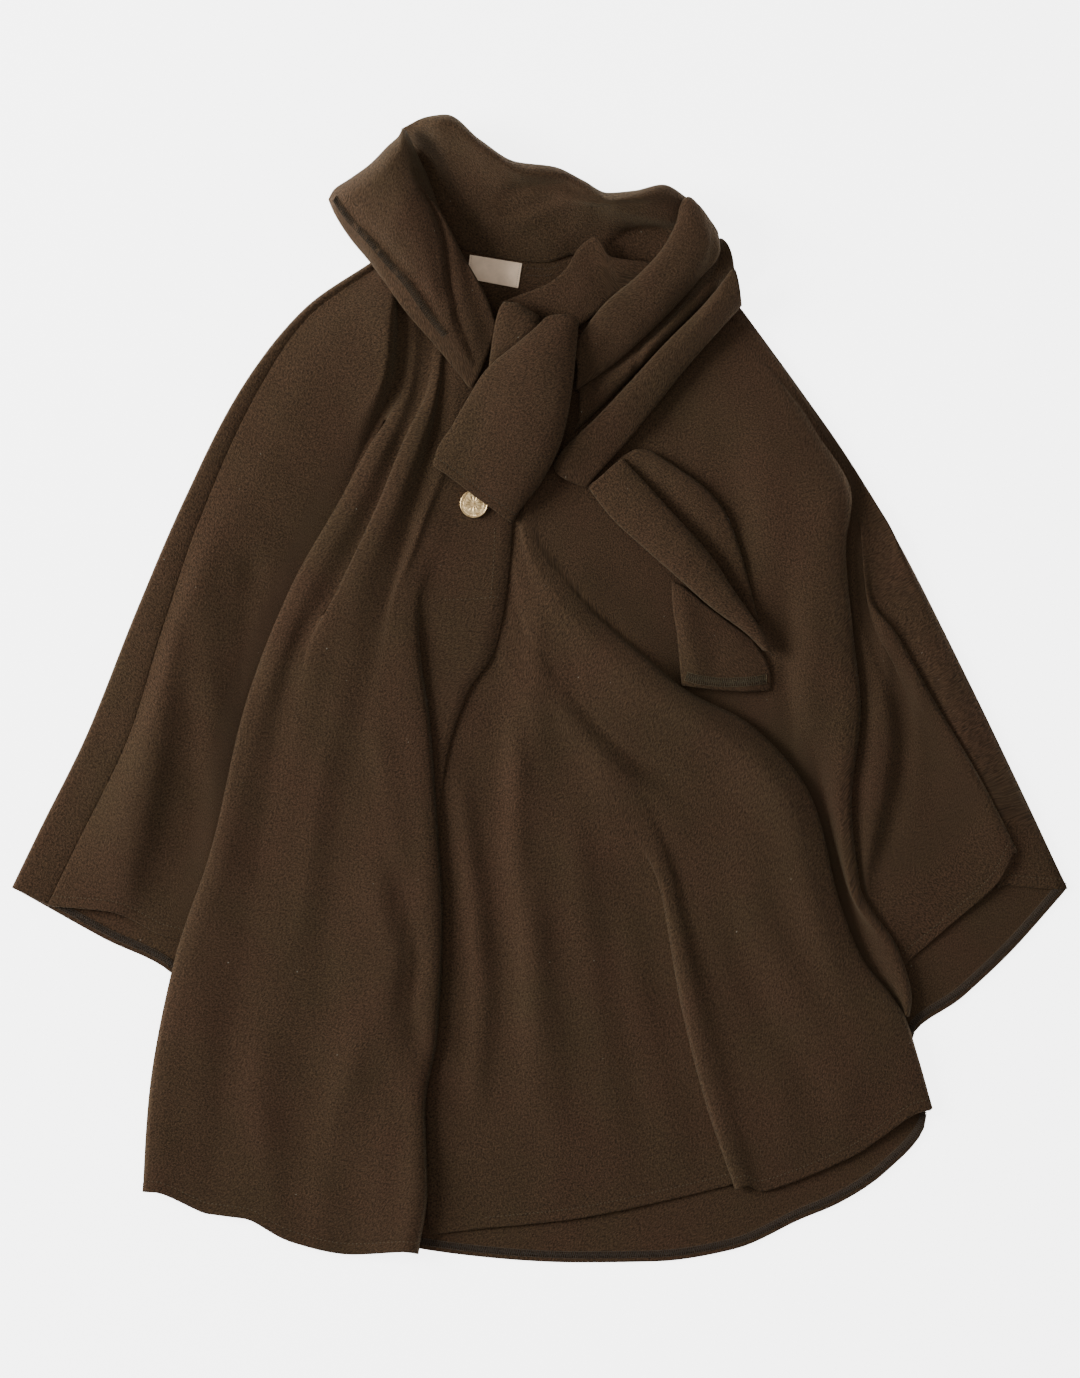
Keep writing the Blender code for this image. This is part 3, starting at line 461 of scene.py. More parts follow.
TAIL_LEAF: tuple[Rows, ...] = (
    (
        (616, 462, 11.4), (640, 482, 11.4), (668, 512, 11.4), (694, 540, 11.4), (714, 568, 11.4),
        (745, 622, 11.6),
    ),
    (
        (626, 455, 13.4), (650, 476, 13.4), (676, 505, 12.4), (701, 534, 12), (719, 564, 12),
        (748, 618, 12.6),
    ),
    (
        (638, 450, 15.4), (664, 467, 18), (692, 490, 17.4), (713, 517, 16), (731, 550, 15), (755, 619, 14.6),
    ),
    (
        (652, 452, 14.4), (678, 469, 16), (704, 488, 15.6), (723, 510, 15), (738, 546, 14.4),
        (758, 622, 13.4),
    ),
    (
        (646, 460, 11.4), (670, 476, 11.8), (696, 497, 11.8), (715, 519, 11.6), (730, 552, 11.6),
        (753, 624, 11.4),
    ),
)
TAIL_FOLD: tuple[Rows, ...] = (
    (
        (600, 482, 10.6), (622, 508, 12), (650, 534, 14), (682, 561, 16), (716, 593, 17), (748, 627, 16.6),
        (760, 645, 16),
    ),
    (
        (588, 487, 13), (612, 518, 16), (641, 545, 19), (676, 576, 24), (711, 607, 25), (746, 633, 24),
        (763, 650, 20),
    ),
    (
        (600, 478, 17), (626, 507, 21), (654, 535, 25), (689, 567, 30), (719, 597, 31), (751, 628, 28.6),
        (767, 651, 23),
    ),
    (
        (612, 467, 18), (639, 496, 23), (667, 526, 26), (699, 558, 30), (725, 589, 30), (756, 627, 28),
        (770, 652, 22),
    ),
    (
        (622, 459, 17), (650, 489, 21), (680, 522, 22.6), (710, 556, 25), (734, 592, 26), (761, 632, 25),
        (772, 655, 20),
    ),
)
TAIL_END: tuple[Rows, ...] = (
    ((672, 582, 13), (673, 606, 13), (677, 632, 13.4), (680, 662, 16.4), (682, 685, 20)),
    ((684, 588, 15), (686, 612, 17), (690, 640, 18), (695, 666, 20), (698, 687, 21.4)),
    ((706, 606, 15), (708, 624, 16), (714, 648, 16), (720, 670, 17), (724, 690, 19)),
    ((730, 624, 15), (735, 638, 16.6), (741, 656, 17), (746, 674, 17), (748, 691, 17)),
    ((752, 640, 14), (760, 652, 15), (767, 664, 15), (770, 678, 14), (770, 690, 12.6)),
)
# Corners of the neck label, clockwise from its upper left. Columns: x, y.
LABEL_CORNERS: Rows = ((470, 255), (522, 263.5), (518, 288), (467, 278.5))

# Overlock and sewing that don't follow an edge. Columns: x, y.
COLLAR_LEFT_OVERLOCK: Rows = (
    (335, 199), (347, 217), (371, 243), (389, 264), (407, 284), (428, 314), (446, 337),
)
TAIL_END_OVERLOCK: Rows = ((685, 676), (700, 680), (726, 682.5), (748, 681.5), (767, 679))
NECK_TAPE_SEAMS: tuple[Rows, ...] = (
    ((524, 267.5), (545, 269), (560, 265)),
    ((524, 275), (543, 276), (553, 274)),
)
PLACKET_SEAM: Rows = ((495, 527), (494, 560), (491, 598))
PLACKET_END: Rows = ((444, 600), (470, 599), (501, 597))


class Slot(str, Enum):
    """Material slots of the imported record."""

    WOOL = "felted_wool"
    LABEL = "woven_label"
    BUTTON = "button_metal"


class Nose(Enum):
    """The side of its path that a lapped fold's edge looks to."""

    RIGHT = 1.0
    LEFT = -1.0


class Edge(Enum):
    """The four edges of a sheet: its lines run from START to END, and are counted from FIRST to LAST."""

    START = "start"
    END = "end"
    FIRST = "first"
    LAST = "last"


class Face(Enum):
    """The face of a sheet that a turned hem lies on."""

    UPPER = "upper"
    LOWER = "lower"


def arc_knots(points: np.ndarray) -> np.ndarray:
    """Give the running length along a row of points, from 0.

    Args:
        points: rows of x, y and anything else.

    Returns:
        The sum of the plan distances up to each row, none of them taken as less than LEAST_CHORD.
    """
    steps = np.linalg.norm(np.diff(points[:, :2], axis=0), axis=1)
    return np.concatenate(([0.0], np.cumsum(np.maximum(steps, LEAST_CHORD))))


def smooth_read(knots: np.ndarray, values: np.ndarray, places: np.ndarray) -> np.ndarray:
    """Read a smooth curve through rows of values that never swings past a row.

    The slope at a row is the harmonic mean of the slopes on its two sides, or none where the values turn
    back; between rows the curve is the cubic with those slopes, and past the ends a straight line.

    Args:
        knots: rising place of each row.
        values: one row of numbers for each knot.
        places: where the curve is read.

    Returns:
        One row of numbers for each place.
    """
    gaps = np.diff(knots)[:, None]
    rates = np.diff(values, axis=0) / gaps
    before, after = rates[:-1], rates[1:]
    same_way = before * after > 0.0
    total = np.where(same_way, before + after, 1.0)
    inner = np.where(same_way, 2.0 * before * after / total, 0.0)
    slopes = np.vstack((rates[:1], inner, rates[-1:]))
    inside = np.clip(places, knots[0], knots[-1])
    index = np.clip(np.searchsorted(knots, inside, side="right") - 1, 0, len(knots) - 2)
    width = gaps[index]
    part = ((inside - knots[index])[:, None]) / width
    curve = (
        (1.0 + 2.0 * part) * (1.0 - part) ** 2 * values[index]
        + part * (1.0 - part) ** 2 * width * slopes[index]
        + part ** 2 * (3.0 - 2.0 * part) * values[index + 1]
        + part ** 2 * (part - 1.0) * width * slopes[index + 1]
    )
    past = (places - inside)[:, None]
    return curve + past * np.where(past > 0.0, slopes[-1:], slopes[:1])


def read_rows(rows: Rows, share: np.ndarray) -> np.ndarray:
    """Read a table of rows at shares of its plan length.

    Args:
        rows: x, y and any further columns.
        share: places from 0 at the first row to 1 at the last.

    Returns:
        One row for each share, with the table's columns.
    """
    points = np.array(rows, dtype=float)
    knots = arc_knots(points)
    return smooth_read(knots, points, share * knots[-1])


def ease(part: np.ndarray) -> np.ndarray:
    """Give 3t squared less 2t cubed, held between 0 and 1."""
    held = np.clip(part, 0.0, 1.0)
    return held * held * (3.0 - 2.0 * held)


def bell(places: np.ndarray, height: float, middle: float, width: float) -> np.ndarray:
    """Give height times exp(-((place - middle) / width) squared)."""
    return height * np.exp(-((places - middle) / width) ** 2)


def unit(vectors: np.ndarray) -> np.ndarray:
    """Scale vectors to length 1."""
    return vectors / np.maximum(np.linalg.norm(vectors, axis=-1, keepdims=True), 1e-9)


def to_row(points: np.ndarray) -> np.ndarray:
    """Turn plan points in millimetres into points of the row frame, still in millimetres."""
    x, y, z = points[..., 0], points[..., 1], points[..., 2]
    return np.stack((x - PLAN_CENTRE[0], PLAN_CENTRE[1] - y, z), axis=-1)


def dense_share(rows: int, length: float, fine_start: bool, fine_end: bool) -> np.ndarray:
    """Give shares of a length, closer together where a hem is.

    Args:
        rows: even steps along the length.
        length: the length in millimetres.
        fine_start: whether the start has a hem.
        fine_end: whether the end has a hem.

    Returns:
        Rising shares from 0 to 1.
    """
    shares = np.linspace(0.0, 1.0, rows)
    fine = np.arange(0.0, FINE_DEPTH, FINE_STEP) / length
    edge = FINE_DEPTH / length
    if fine_start:
        shares = np.concatenate((shares[(shares > edge) | (shares == 0.0)], fine))
    if fine_end:
        shares = np.concatenate((shares[(shares < 1.0 - edge) | (shares == 1.0)], 1.0 - fine))
    return np.unique(np.round(shares, 9))


@dataclass(frozen=True)
class LappedFold:
    """A fold that laps over what lies beside it, as five guide lines worked out from its edge.

    Rows have x and y of the edge, the lap, the lower and the upper height, and the width up to the
    crest. A negative lap opens the fold out into a soft step.
    """

    rows: Rows
    nose: Nose
    drop: float = 0.0
    drop_start: float = 0.35
    turn_height: float = 3.8
    turn_share: float = 0.4
    edge_share: float = 0.45
    foot_length: float = 8.0
    half_span: float = 6.0

    def lines(self, share: np.ndarray) -> list[np.ndarray]:
        """Give the crest, edge, inner, root and foot lines, in the sheet's order.

        The lower layer is read at the share plus a drop that grows with the square of the way past
        drop_start. Each line stands off the edge, across the path, by its share of lap or crest width.
        """
        points = np.array(self.rows, dtype=float)
        knots = arc_knots(points)

        def read(places: np.ndarray) -> tuple[np.ndarray, np.ndarray]:
            """Read the table, and the direction across the path between half a span on each side."""
            ahead = smooth_read(knots, points[:, :2], places + self.half_span)
            behind = smooth_read(knots, points[:, :2], places - self.half_span)
            along = unit(ahead - behind)
            across = self.nose.value * np.column_stack((along[:, 1], -along[:, 0]))
            return smooth_read(knots, points, places), across

        upper, upper_side = read(share * knots[-1])
        late = np.clip((share - self.drop_start) / (1.0 - self.drop_start), 0.0, 1.0) ** 2
        lower, lower_side = read(share * knots[-1] + self.drop * late)
        low, rise = upper[:, LOW], upper[:, HIGH] - upper[:, LOW]
        turn = np.minimum(self.turn_height, self.turn_share * rise)
        edge_z = low + turn + self.edge_share * (rise - turn)
        middle = 0.5 * (upper[:, :2] + lower[:, :2])
        middle_side = 0.5 * (upper_side + lower_side)
        middle_lap = 0.25 * (upper[:, LAP] + lower[:, LAP])
        foot_lap = lower[:, LAP] - self.foot_length
        found = [
            np.column_stack((upper[:, :2] - upper[:, WIDTH] * upper_side, upper[:, HIGH])),
            np.column_stack((upper[:, :2], edge_z)),
            np.column_stack((middle - middle_lap * middle_side, low + turn)),
            np.column_stack((lower[:, :2] - lower[:, LAP] * lower_side, lower[:, LOW] + 0.5 * turn)),
            np.column_stack((lower[:, :2] - foot_lap * lower_side, lower[:, LOW])),
        ]
        return found if self.nose is Nose.RIGHT else found[::-1]


def spread(lines: list[np.ndarray], first: int, last: int, share: np.ndarray, start: Span) -> None:
    """Spread guide lines evenly between two others, above the place where their folds start.

    Args:
        lines: the sheet's guide lines, changed in place.
        first: index of the line before those that are spread.
        last: index of the line after them.
        share: share of the length at each row.
        start: shares where the spreading begins to fade and where it has gone.
    """
    own = ease((share - start[0]) / (start[1] - start[0]))[:, None]
    for index in range(first + 1, last):
        place = (index - first) / (last - first)
        even = (1.0 - place) * lines[first] + place * lines[last]
        lines[index] = own * lines[index] + (1.0 - own) * even


@dataclass(frozen=True)
class Crease:
    """A soft trough or ridge across a sheet, as a bell-shaped change of height along a path.

    Rows have x, y and the height. The bell reaches left and right of the path as one looks from its
    first row to its last, on the plan.
    """

    rows: Rows
    left: float
    right: float
    path_points: int = 60
    bell_end: float = 2.6

    def lift(self, plan: np.ndarray) -> np.ndarray:
        """Give height times exp(-(distance / reach) squared) at each plan point.

        Args:
            plan: points of the sheet, with x and y first.

        Returns:
            The change of height in millimetres.
        """
        path = read_rows(self.rows, np.linspace(0.0, 1.0, self.path_points))
        flat = plan.reshape(-1, plan.shape[-1])[:, :2]
        reach = self.bell_end * max(self.left, self.right)
        low, high = path[:, :2].min(axis=0) - reach, path[:, :2].max(axis=0) + reach
        near = np.all((flat > low) & (flat < high), axis=1)
        found = np.zeros(len(flat))
        if near.any():
            spot = flat[near]
            away = (spot[:, None, 0] - path[:, 0]) ** 2 + (spot[:, None, 1] - path[:, 1]) ** 2
            place = away.argmin(axis=1)
            along = unit(np.gradient(path[:, :2], axis=0))[place]
            offset = spot - path[place, :2]
            turn = along[:, 0] * offset[:, 1] - along[:, 1] * offset[:, 0]
            side = np.where(turn < 0.0, self.left, self.right)
            found[near] = path[place, 2] * np.exp(-away[np.arange(len(place)), place] / side ** 2)
        return found.reshape(plan.shape[:-1])


@dataclass(frozen=True)
class Wander:
    """Slow unevenness of cloth that was smoothed out by hand, as a sum of crossing waves."""

    height: float = 0.0
    seed: int = 3
    waves: int = 7
    shortest: float = 70.0
    longest: float = 260.0
    raised: float = 1.4

    def rise(self, plan: np.ndarray) -> np.ndarray:
        """Give the lift raised by its share of the height, and never less than none."""
        return np.maximum(self.lift(plan) + self.raised * self.height, 0.0)

    def lift(self, plan: np.ndarray) -> np.ndarray:
        """Sum sines of the plan place with mixed lengths and directions, and share out the height."""
        rng = np.random.default_rng(self.seed)
        length = np.geomspace(self.shortest, self.longest, self.waves)
        turn = rng.uniform(0.0, math.pi, self.waves)
        phase = rng.uniform(0.0, 2.0 * math.pi, self.waves)
        x, y = plan[..., 0:1], plan[..., 1:2]
        waves = np.sin(2.0 * math.pi * (x * np.cos(turn) + y * np.sin(turn)) / length + phase)
        return self.height * waves.sum(axis=-1) / math.sqrt(self.waves)


# The unevenness that all layers of the coat share.
SMOOTHED_BY_HAND = Wander(0.75, 21, 10, 46.0, 240.0)


@dataclass(frozen=True)
class Hem:
    """A hem along one edge of a sheet: the cloth is turned under and held by a row of sewing."""

    edge: Edge
    depth: float = 12.0
    thicker: float = 0.6
    face: Face = Face.LOWER
    groove: float = 0.45
    groove_width: float = 1.1
    fade: float = 1.6
    seen_through: float = 0.3


def creases(*rows: tuple) -> tuple[Crease, ...]:
    """Make creases from rows of the left reach, the right reach and the path's points."""
    return tuple(Crease(path, left, right) for left, right, *path in rows)


# Creases, each along a trough or a ridge. Columns: left reach, right reach, then x, y and height
# of each point.
SLEEVE_CREASES = creases(
    (17, 38, (190, 520, 0), (181, 575, 2), (171, 650, 4), (161, 720, 6.5), (150, 780, 9), (138, 835, 9),
        (126, 882, 6), (118, 905, 4)),
)
RIGHT_CREASES = creases(
    (22, 16, (202, 520, 0), (203, 590, 3.5), (206, 660, 4), (214, 740, 4), (216, 820, 4), (206, 880, 3),
        (188, 935, 0)),
    (9, 8, (250, 545, 0), (254, 595, -6), (255, 650, -6), (250, 700, 0)),
    (26, 10, (366, 560, 0), (355, 620, 2.5), (340, 700, 3.2), (324, 770, 3.2), (314, 840, 3), (306, 900, 2.4),
        (298, 960, 0)),
    (8, 18, (378, 850, 0), (386, 905, 4), (398, 960, 4.5), (390, 1005, 4.5), (400, 1060, 2), (408, 1100, 0)),
    (5, 9, (426, 800, 0), (431, 880, 2.2), (435, 955, 2.4), (432, 1025, 2.2), (428, 1070, 0)),
    (6, 20, (428, 1040, 0), (421, 1100, 4), (423, 1160, 5), (423, 1205, 5), (415, 1252, 3)),
    (8, 8, (396, 850, 0), (401, 908, -3), (415, 958, -4), (408, 995, -4), (419, 1038, -3), (430, 1090, 0)),
    (16, 16, (206, 960, 0), (202, 1020, 2.5), (203, 1100, 2), (202, 1190, 1)),
    (16, 14, (262, 1010, 0), (258, 1080, 2), (268, 1150, 2.4), (276, 1215, 1)),
    (14, 10, (368, 1000, 0), (352, 1060, 2.5), (336, 1110, 2), (322, 1170, 0)),
    (14, 12, (392, 1090, 0), (382, 1150, 2.2), (378, 1230, 1.5)),
    (12, 12, (300, 960, 0), (312, 1000, 1.8), (330, 1030, 0)),
    (12, 12, (330, 1140, 0), (322, 1190, 2), (322, 1240, 1.5)),
    (14, 8, (370, 700, 0), (380, 760, 2), (396, 840, 2), (404, 890, 0)),
)
LEFT_CREASES = creases(
    (18, 10, (560, 560, 0), (584, 588, 4), (620, 620, 5), (650, 648, 4), (676, 672, 0)),
    (8, 12, (458, 770, 0), (464, 810, 5), (472, 870, 6), (480, 935, 7), (484, 1000, 6), (480, 1060, 4),
        (474, 1130, 0)),
    (13, 10, (518, 690, 0), (515, 780, 5), (516, 850, 6), (526, 930, 7), (532, 1010, 6), (534, 1080, 3),
        (534, 1140, 0)),
    (10, 8, (560, 690, 0), (590, 722, -3), (625, 758, -4), (665, 778, -4), (710, 788, -3), (748, 806, 0)),
    (10, 20, (566, 575, 0), (600, 618, 1), (650, 668, 3), (700, 714, 5), (750, 752, 5), (786, 800, 4),
        (806, 880, 4), (832, 960, 4), (866, 1040, 2), (890, 1100, 0)),
    (6, 17, (630, 840, 0), (658, 878, 3), (682, 945, 4.5), (700, 1020, 4), (718, 1090, 3.5), (733, 1150, 3),
        (744, 1186, 1.5)),
    (10, 22, (548, 690, 0), (580, 728, 4), (620, 768, 5), (660, 800, 4), (700, 835, 0)),
    (22, 20, (584, 745, 0), (604, 785, 4), (626, 830, 4), (650, 880, 0)),
    (16, 18, (738, 830, 0), (756, 900, 3), (784, 970, 4), (822, 1035, 4), (850, 1080, 2), (868, 1110, 0)),
    (8, 8, (720, 880, 0), (738, 950, -3), (766, 1015, -3), (800, 1070, -2), (816, 1110, 0)),
    (11, 9, (536, 840, 0), (537, 930, 3.5), (546, 1010, 3), (553, 1100, 2.5), (556, 1190, 1)),
    (11, 12, (572, 780, 0), (580, 880, 3), (592, 960, 4), (602, 1040, 3), (616, 1120, 2.5), (622, 1190, 1)),
    (11, 12, (622, 900, 0), (638, 990, 3), (656, 1070, 3), (672, 1140, 2), (680, 1190, 0)),
    (13, 13, (768, 1040, 0), (782, 1090, 2), (790, 1150, 1.5)),
    (11, 11, (836, 1060, 0), (842, 1100, 2), (846, 1150, 1)),
    (13, 13, (540, 590, 0), (536, 650, 3), (536, 720, 3), (540, 770, 0)),
    (5, 5, (569, 632, 0), (573, 665, -1.2), (577, 700, 0)),
    (10, 5, (782, 560, 0), (784, 620, -2.5), (785, 700, -3), (786, 768, 0)),
    (14, 14, (806, 540, 0), (810, 640, 2.5), (808, 740, 2.5), (814, 800, 0)),
    (14, 20, (758, 400, 0), (768, 470, 2.5), (770, 560, 2), (764, 640, 0)),
    (6, 10, (722, 410, 0), (730, 460, -2), (742, 520, -2), (752, 590, 0)),
    (8, 10, (882, 600, 0), (886, 700, 3), (882, 780, 3), (872, 840, 2), (866, 880, 0)),
    (14, 8, (916, 640, 0), (918, 720, 2), (912, 790, 2), (897, 850, 2), (884, 888, 0)),
    (7, 24, (914, 610, 0), (946, 680, 3.5), (976, 755, 5), (1000, 815, 5), (1008, 848, 3)),
    (3, 3, (866, 888, 0), (882, 919, -3), (896, 943, -3), (904, 962, 0)),
)
COLLAR_LEFT_CREASES = creases(
    (6, 3, (338, 200, 0), (374, 236, -2), (392, 256, -2.5), (410, 276, -2.5), (431, 305, -2), (450, 330, 0)),
    (6, 1.2, (410, 165, 0), (418, 188, -5), (427, 203, -6), (436, 222, -6), (441, 240, -6), (446, 272, -6),
        (452, 309, -5), (462, 338, -4), (477, 372, 0)),
    (4, 3, (455, 228, 0), (465, 265, -2), (480, 315, -2), (493, 352, 0)),
)
COLLAR_BACK_CREASES = creases(
    (20, 14, (416, 138, -3), (426, 162, -9), (440, 195, -11), (456, 226, -5)),
    (1.5, 14, (606, 252, 0), (616, 238, -6), (632, 228, -9), (655, 226.5, -9), (678, 227, -6)),
    (6, 8, (492, 200, 0), (515, 190, -5), (540, 186, -7), (562, 186, -7), (585, 196, -4), (608, 202, 0)),
    (6, 10, (480, 210, 0), (517, 222, 3), (548, 210, 4), (580, 203, 4), (615, 207, 2), (640, 215, 0)),
)
BAND_CREASES = creases(
    (4, 4, (643, 338, 0), (640, 350, -2), (636, 366, -2), (633, 380, 0)),
)
STRAP_CREASES = creases(
    (1.8, 1.8, (727, 284, 0), (700, 317, -1.4), (664, 353, -1.4), (630, 388, -1.4), (600, 421, -1.2),
        (566, 458, 0)),
    (3, 3, (724, 284, 0), (712, 298, -2), (700, 311, -2), (690, 325, -2), (680, 338, 0)),
)


class Graph:
    """The nodes of one material, with short ways to add and join them."""

    def __init__(self, name: str) -> None:
        """Start a material with one Principled shader."""
        self.material = bpy.data.materials.new(name)
        self.material.use_nodes = True
        self.nodes = self.material.node_tree.nodes
        self.links = self.material.node_tree.links
        self.shader = self.nodes["Principled BSDF"]

    def feed(self, node: bpy.types.Node, inputs: dict) -> None:
        """Set inputs to plain values or join them to sockets; names have underscores for spaces."""
        for key, value in inputs.items():
            target = node.inputs[key.replace("_", " ") if isinstance(key, str) else key]
            if isinstance(value, Socket):
                self.links.new(value, target)
            else:
                target.default_value = value

    def add(self, kind: str, **inputs: object) -> bpy.types.Node:
        """Add a node and feed its inputs."""
        node = self.nodes.new(kind)
        self.feed(node, inputs)
        return node

    def place(self, source: str, scale: tuple = (1.0, 1.0, 1.0), turn: float = 0.0) -> Socket:
        """Give texture places, from the object or the cloth's own map, scaled and turned."""
        places = self.nodes.new("ShaderNodeTexCoord").outputs[source]
        node = self.add("ShaderNodeMapping", Vector=places, Scale=scale, Rotation=(0.0, 0.0, turn))
        return node.outputs["Vector"]

    def noise(self, place: Socket, scale: float, detail: float = 3.0, roughness: float = 0.6) -> Socket:
        """Give a noise value from 0 to 1 at a place."""
        node = self.add("ShaderNodeTexNoise", Vector=place, Scale=scale, Detail=detail, Roughness=roughness)
        return node.outputs["Fac"]

    def ramp(self, value: Socket, low: float, high: float) -> Socket:
        """Stretch a value so that low gives 0 and high gives 1."""
        return self.add("ShaderNodeMapRange", Value=value, From_Min=low, From_Max=high).outputs["Result"]

    def combine(self, kind: str, *values: Socket | float) -> Socket:
        """Give the result of an operation on sockets and numbers."""
        node = self.nodes.new("ShaderNodeMath")
        node.operation = kind
        self.feed(node, dict(enumerate(values)))
        return node.outputs["Value"]

    def sum(self, first: Socket, second: Socket, weight: float) -> Socket:
        """Give the second value times a weight, plus the first."""
        return self.combine("MULTIPLY_ADD", second, weight, first)

    def blend(self, value: Socket, first: Socket | Colour, second: Socket | Colour) -> Socket:
        """Mix two colours, each given as numbers or as a socket."""
        node = self.nodes.new("ShaderNodeMix")
        node.data_type = "RGBA"
        self.feed(node, {"Factor": value, MIX_FIRST: first, MIX_SECOND: second})
        return node.outputs[MIX_RESULT]

    def bump(self, height: Socket, strength: float, distance: float, **under: Socket) -> Socket:
        """Give a normal bent by a height, on top of another Normal if there is one."""
        node = self.add("ShaderNodeBump", Height=height, Strength=strength, Distance=distance, **under)
        return node.outputs["Normal"]

    def dress(self, **inputs: object) -> bpy.types.Material:
        """Feed the shader's inputs, and give the material."""
        self.feed(self.shader, inputs)
        return self.material


class Finish:
    """A finish that makes its material once."""

    name = "finish"

    def material(self) -> bpy.types.Material:
        """Give the finish's material, made the first time that it is asked for."""
        return bpy.data.materials.get(self.name) or self.make()

    def make(self) -> bpy.types.Material:
        """Make the material."""
        raise NotImplementedError


@dataclass(frozen=True)
class FeltedWool(Finish):
    """Olive-brown wool cloth, milled to a short nap, with stray light fibres."""

    name: str = "felted_wool_nap"
    deep: Colour = (0.0170, 0.0095, 0.0049, 1.0)
    body: Colour = (0.0700, 0.0362, 0.0190, 1.0)
    olive: Colour = (0.0630, 0.0378, 0.0178, 1.0)
    lint: Colour = (0.22, 0.20, 0.15, 1.0)
    halo: Colour = (0.60, 0.50, 0.30, 1.0)
    nap_per_metre: float = 560.0
    twill_per_metre: float = 470.0
    cloud_per_metre: float = 11.0
    lint_per_metre: float = 42.0
    lint_field_per_metre: float = 60.0
    unrest_per_metre: float = 70.0
    cloud_range: Span = (0.36, 0.66)
    fibre_range: Span = (0.59, 0.89)
    lint_edge: Span = (0.034, 0.016)
    lint_range: Span = (0.46, 0.60)
    unrest_bump: Span = (0.30, 0.0030)
    nap_bump: Span = (0.85, 0.0018)

    def make(self) -> bpy.types.Material:
        """Mix slow clouds of brown and olive, darken between the fibres, and raise the nap."""
        graph = Graph(self.name)
        here, cloth = graph.place("Object"), graph.place("UV")
        slanted = graph.place("UV", scale=(1.0, 0.7, 1.0), turn=0.5)
        grain = graph.noise(slanted, self.twill_per_metre, detail=2.0)
        nap = graph.noise(cloth, self.nap_per_metre, roughness=0.7)
        cloud = graph.noise(here, self.cloud_per_metre, detail=4.0, roughness=0.55)
        hue = graph.blend(graph.ramp(cloud, *self.cloud_range), self.body, self.olive)
        fibre = graph.ramp(graph.sum(nap, grain, weight=0.5), *self.fibre_range)
        colour = graph.blend(fibre, self.deep, hue)
        specks = graph.add("ShaderNodeTexVoronoi", Vector=cloth, Scale=self.lint_per_metre, Randomness=1.0)
        dot = graph.ramp(specks.outputs["Distance"], *self.lint_edge)
        few = graph.ramp(graph.noise(here, self.lint_field_per_metre, detail=1.0), *self.lint_range)
        speckled = graph.blend(graph.combine("MULTIPLY", dot, few), colour, self.lint)
        soft = graph.bump(graph.noise(here, self.unrest_per_metre), *self.unrest_bump)
        rough = graph.bump(graph.sum(nap, grain, weight=0.6), *self.nap_bump, Normal=soft)
        return graph.dress(
            Base_Color=speckled, Normal=rough, Roughness=0.95, Specular_IOR_Level=0.15,
            Sheen_Weight=0.12, Sheen_Roughness=0.5, Sheen_Tint=self.halo,
        )


@dataclass(frozen=True)
class SewingThread(Finish):
    """Twisted polyester thread."""

    name: str = "sewing_thread"
    dark: Colour = (0.020, 0.017, 0.010, 1.0)
    light: Colour = (0.050, 0.042, 0.025, 1.0)
    twist_per_metre: float = 900.0
    band_range: Span = (0.35, 0.65)

    def make(self) -> bpy.types.Material:
        """Mix two shades of the thread along fine diagonal bands."""
        graph = Graph(self.name)
        slanted = graph.place("Object", scale=(1.0, 1.0, 2.0), turn=0.7)
        bands = graph.noise(slanted, self.twist_per_metre, detail=2.0)
        shade = graph.blend(graph.ramp(bands, *self.band_range), self.dark, self.light)
        twist = graph.bump(bands, strength=0.5, distance=0.0002)
        return graph.dress(
            Base_Color=shade, Normal=twist, Roughness=0.85, Sheen_Weight=0.02, Specular_IOR_Level=0.12
        )


@dataclass(frozen=True)
class LabelWeave(Finish):
    """Cream satin ribbon with a fine weave."""

    name: str = "blank_label_weave"
    cream: Colour = (0.84, 0.63, 0.45, 1.0)
    shade: Colour = (0.64, 0.47, 0.33, 1.0)
    wave_scale: float = 250.0
    tone_per_metre: float = 90.0
    tone_range: Span = (0.35, 1.0)

    def make(self) -> bpy.types.Material:
        """Cross two fine waves for warp and weft, over a slow change of tone."""
        graph = Graph(self.name)
        cloth = graph.place("UV")
        warp = graph.add("ShaderNodeTexWave", Vector=cloth, Scale=self.wave_scale, Distortion=0.6)
        weft = graph.add("ShaderNodeTexWave", Vector=cloth, Scale=self.wave_scale, Distortion=0.6)
        weft.bands_direction = "Y"
        weave = graph.sum(warp.outputs["Fac"], weft.outputs["Fac"], weight=0.7)
        tone = graph.noise(graph.place("Object"), self.tone_per_metre)
        mixed = graph.ramp(graph.sum(tone, weave, weight=0.25), *self.tone_range)
        return graph.dress(
            Base_Color=graph.blend(mixed, self.shade, self.cream),
            Normal=graph.bump(weave, strength=0.35, distance=0.0003),
            Roughness=0.62, Sheen_Weight=0.15, Specular_IOR_Level=0.4,
        )


@dataclass(frozen=True)
class PaleGold(Finish):
    """Pale gold plate on a cast button, with fine patches of tarnish."""

    name: str = "pale_gold_plate"
    bright: Colour = (0.90, 0.67, 0.36, 1.0)
    tarnish: Colour = (0.40, 0.24, 0.10, 1.0)
    wear_per_metre: float = 420.0
    wear_range: Span = (0.30, 0.62)
    dull_range: Span = (-0.6, 1.9)

    def make(self) -> bpy.types.Material:
        """Mix plate and tarnish by a fine noise, which also dulls the plate."""
        graph = Graph(self.name)
        wear = graph.noise(graph.place("Object"), self.wear_per_metre, detail=4.0)
        plate = graph.blend(graph.ramp(wear, *self.wear_range), self.tarnish, self.bright)
        dull = graph.ramp(wear, *self.dull_range)
        pits = graph.bump(wear, strength=0.25, distance=0.0002)
        return graph.dress(Base_Color=plate, Normal=pits, Roughness=dull, Metallic=1.0)


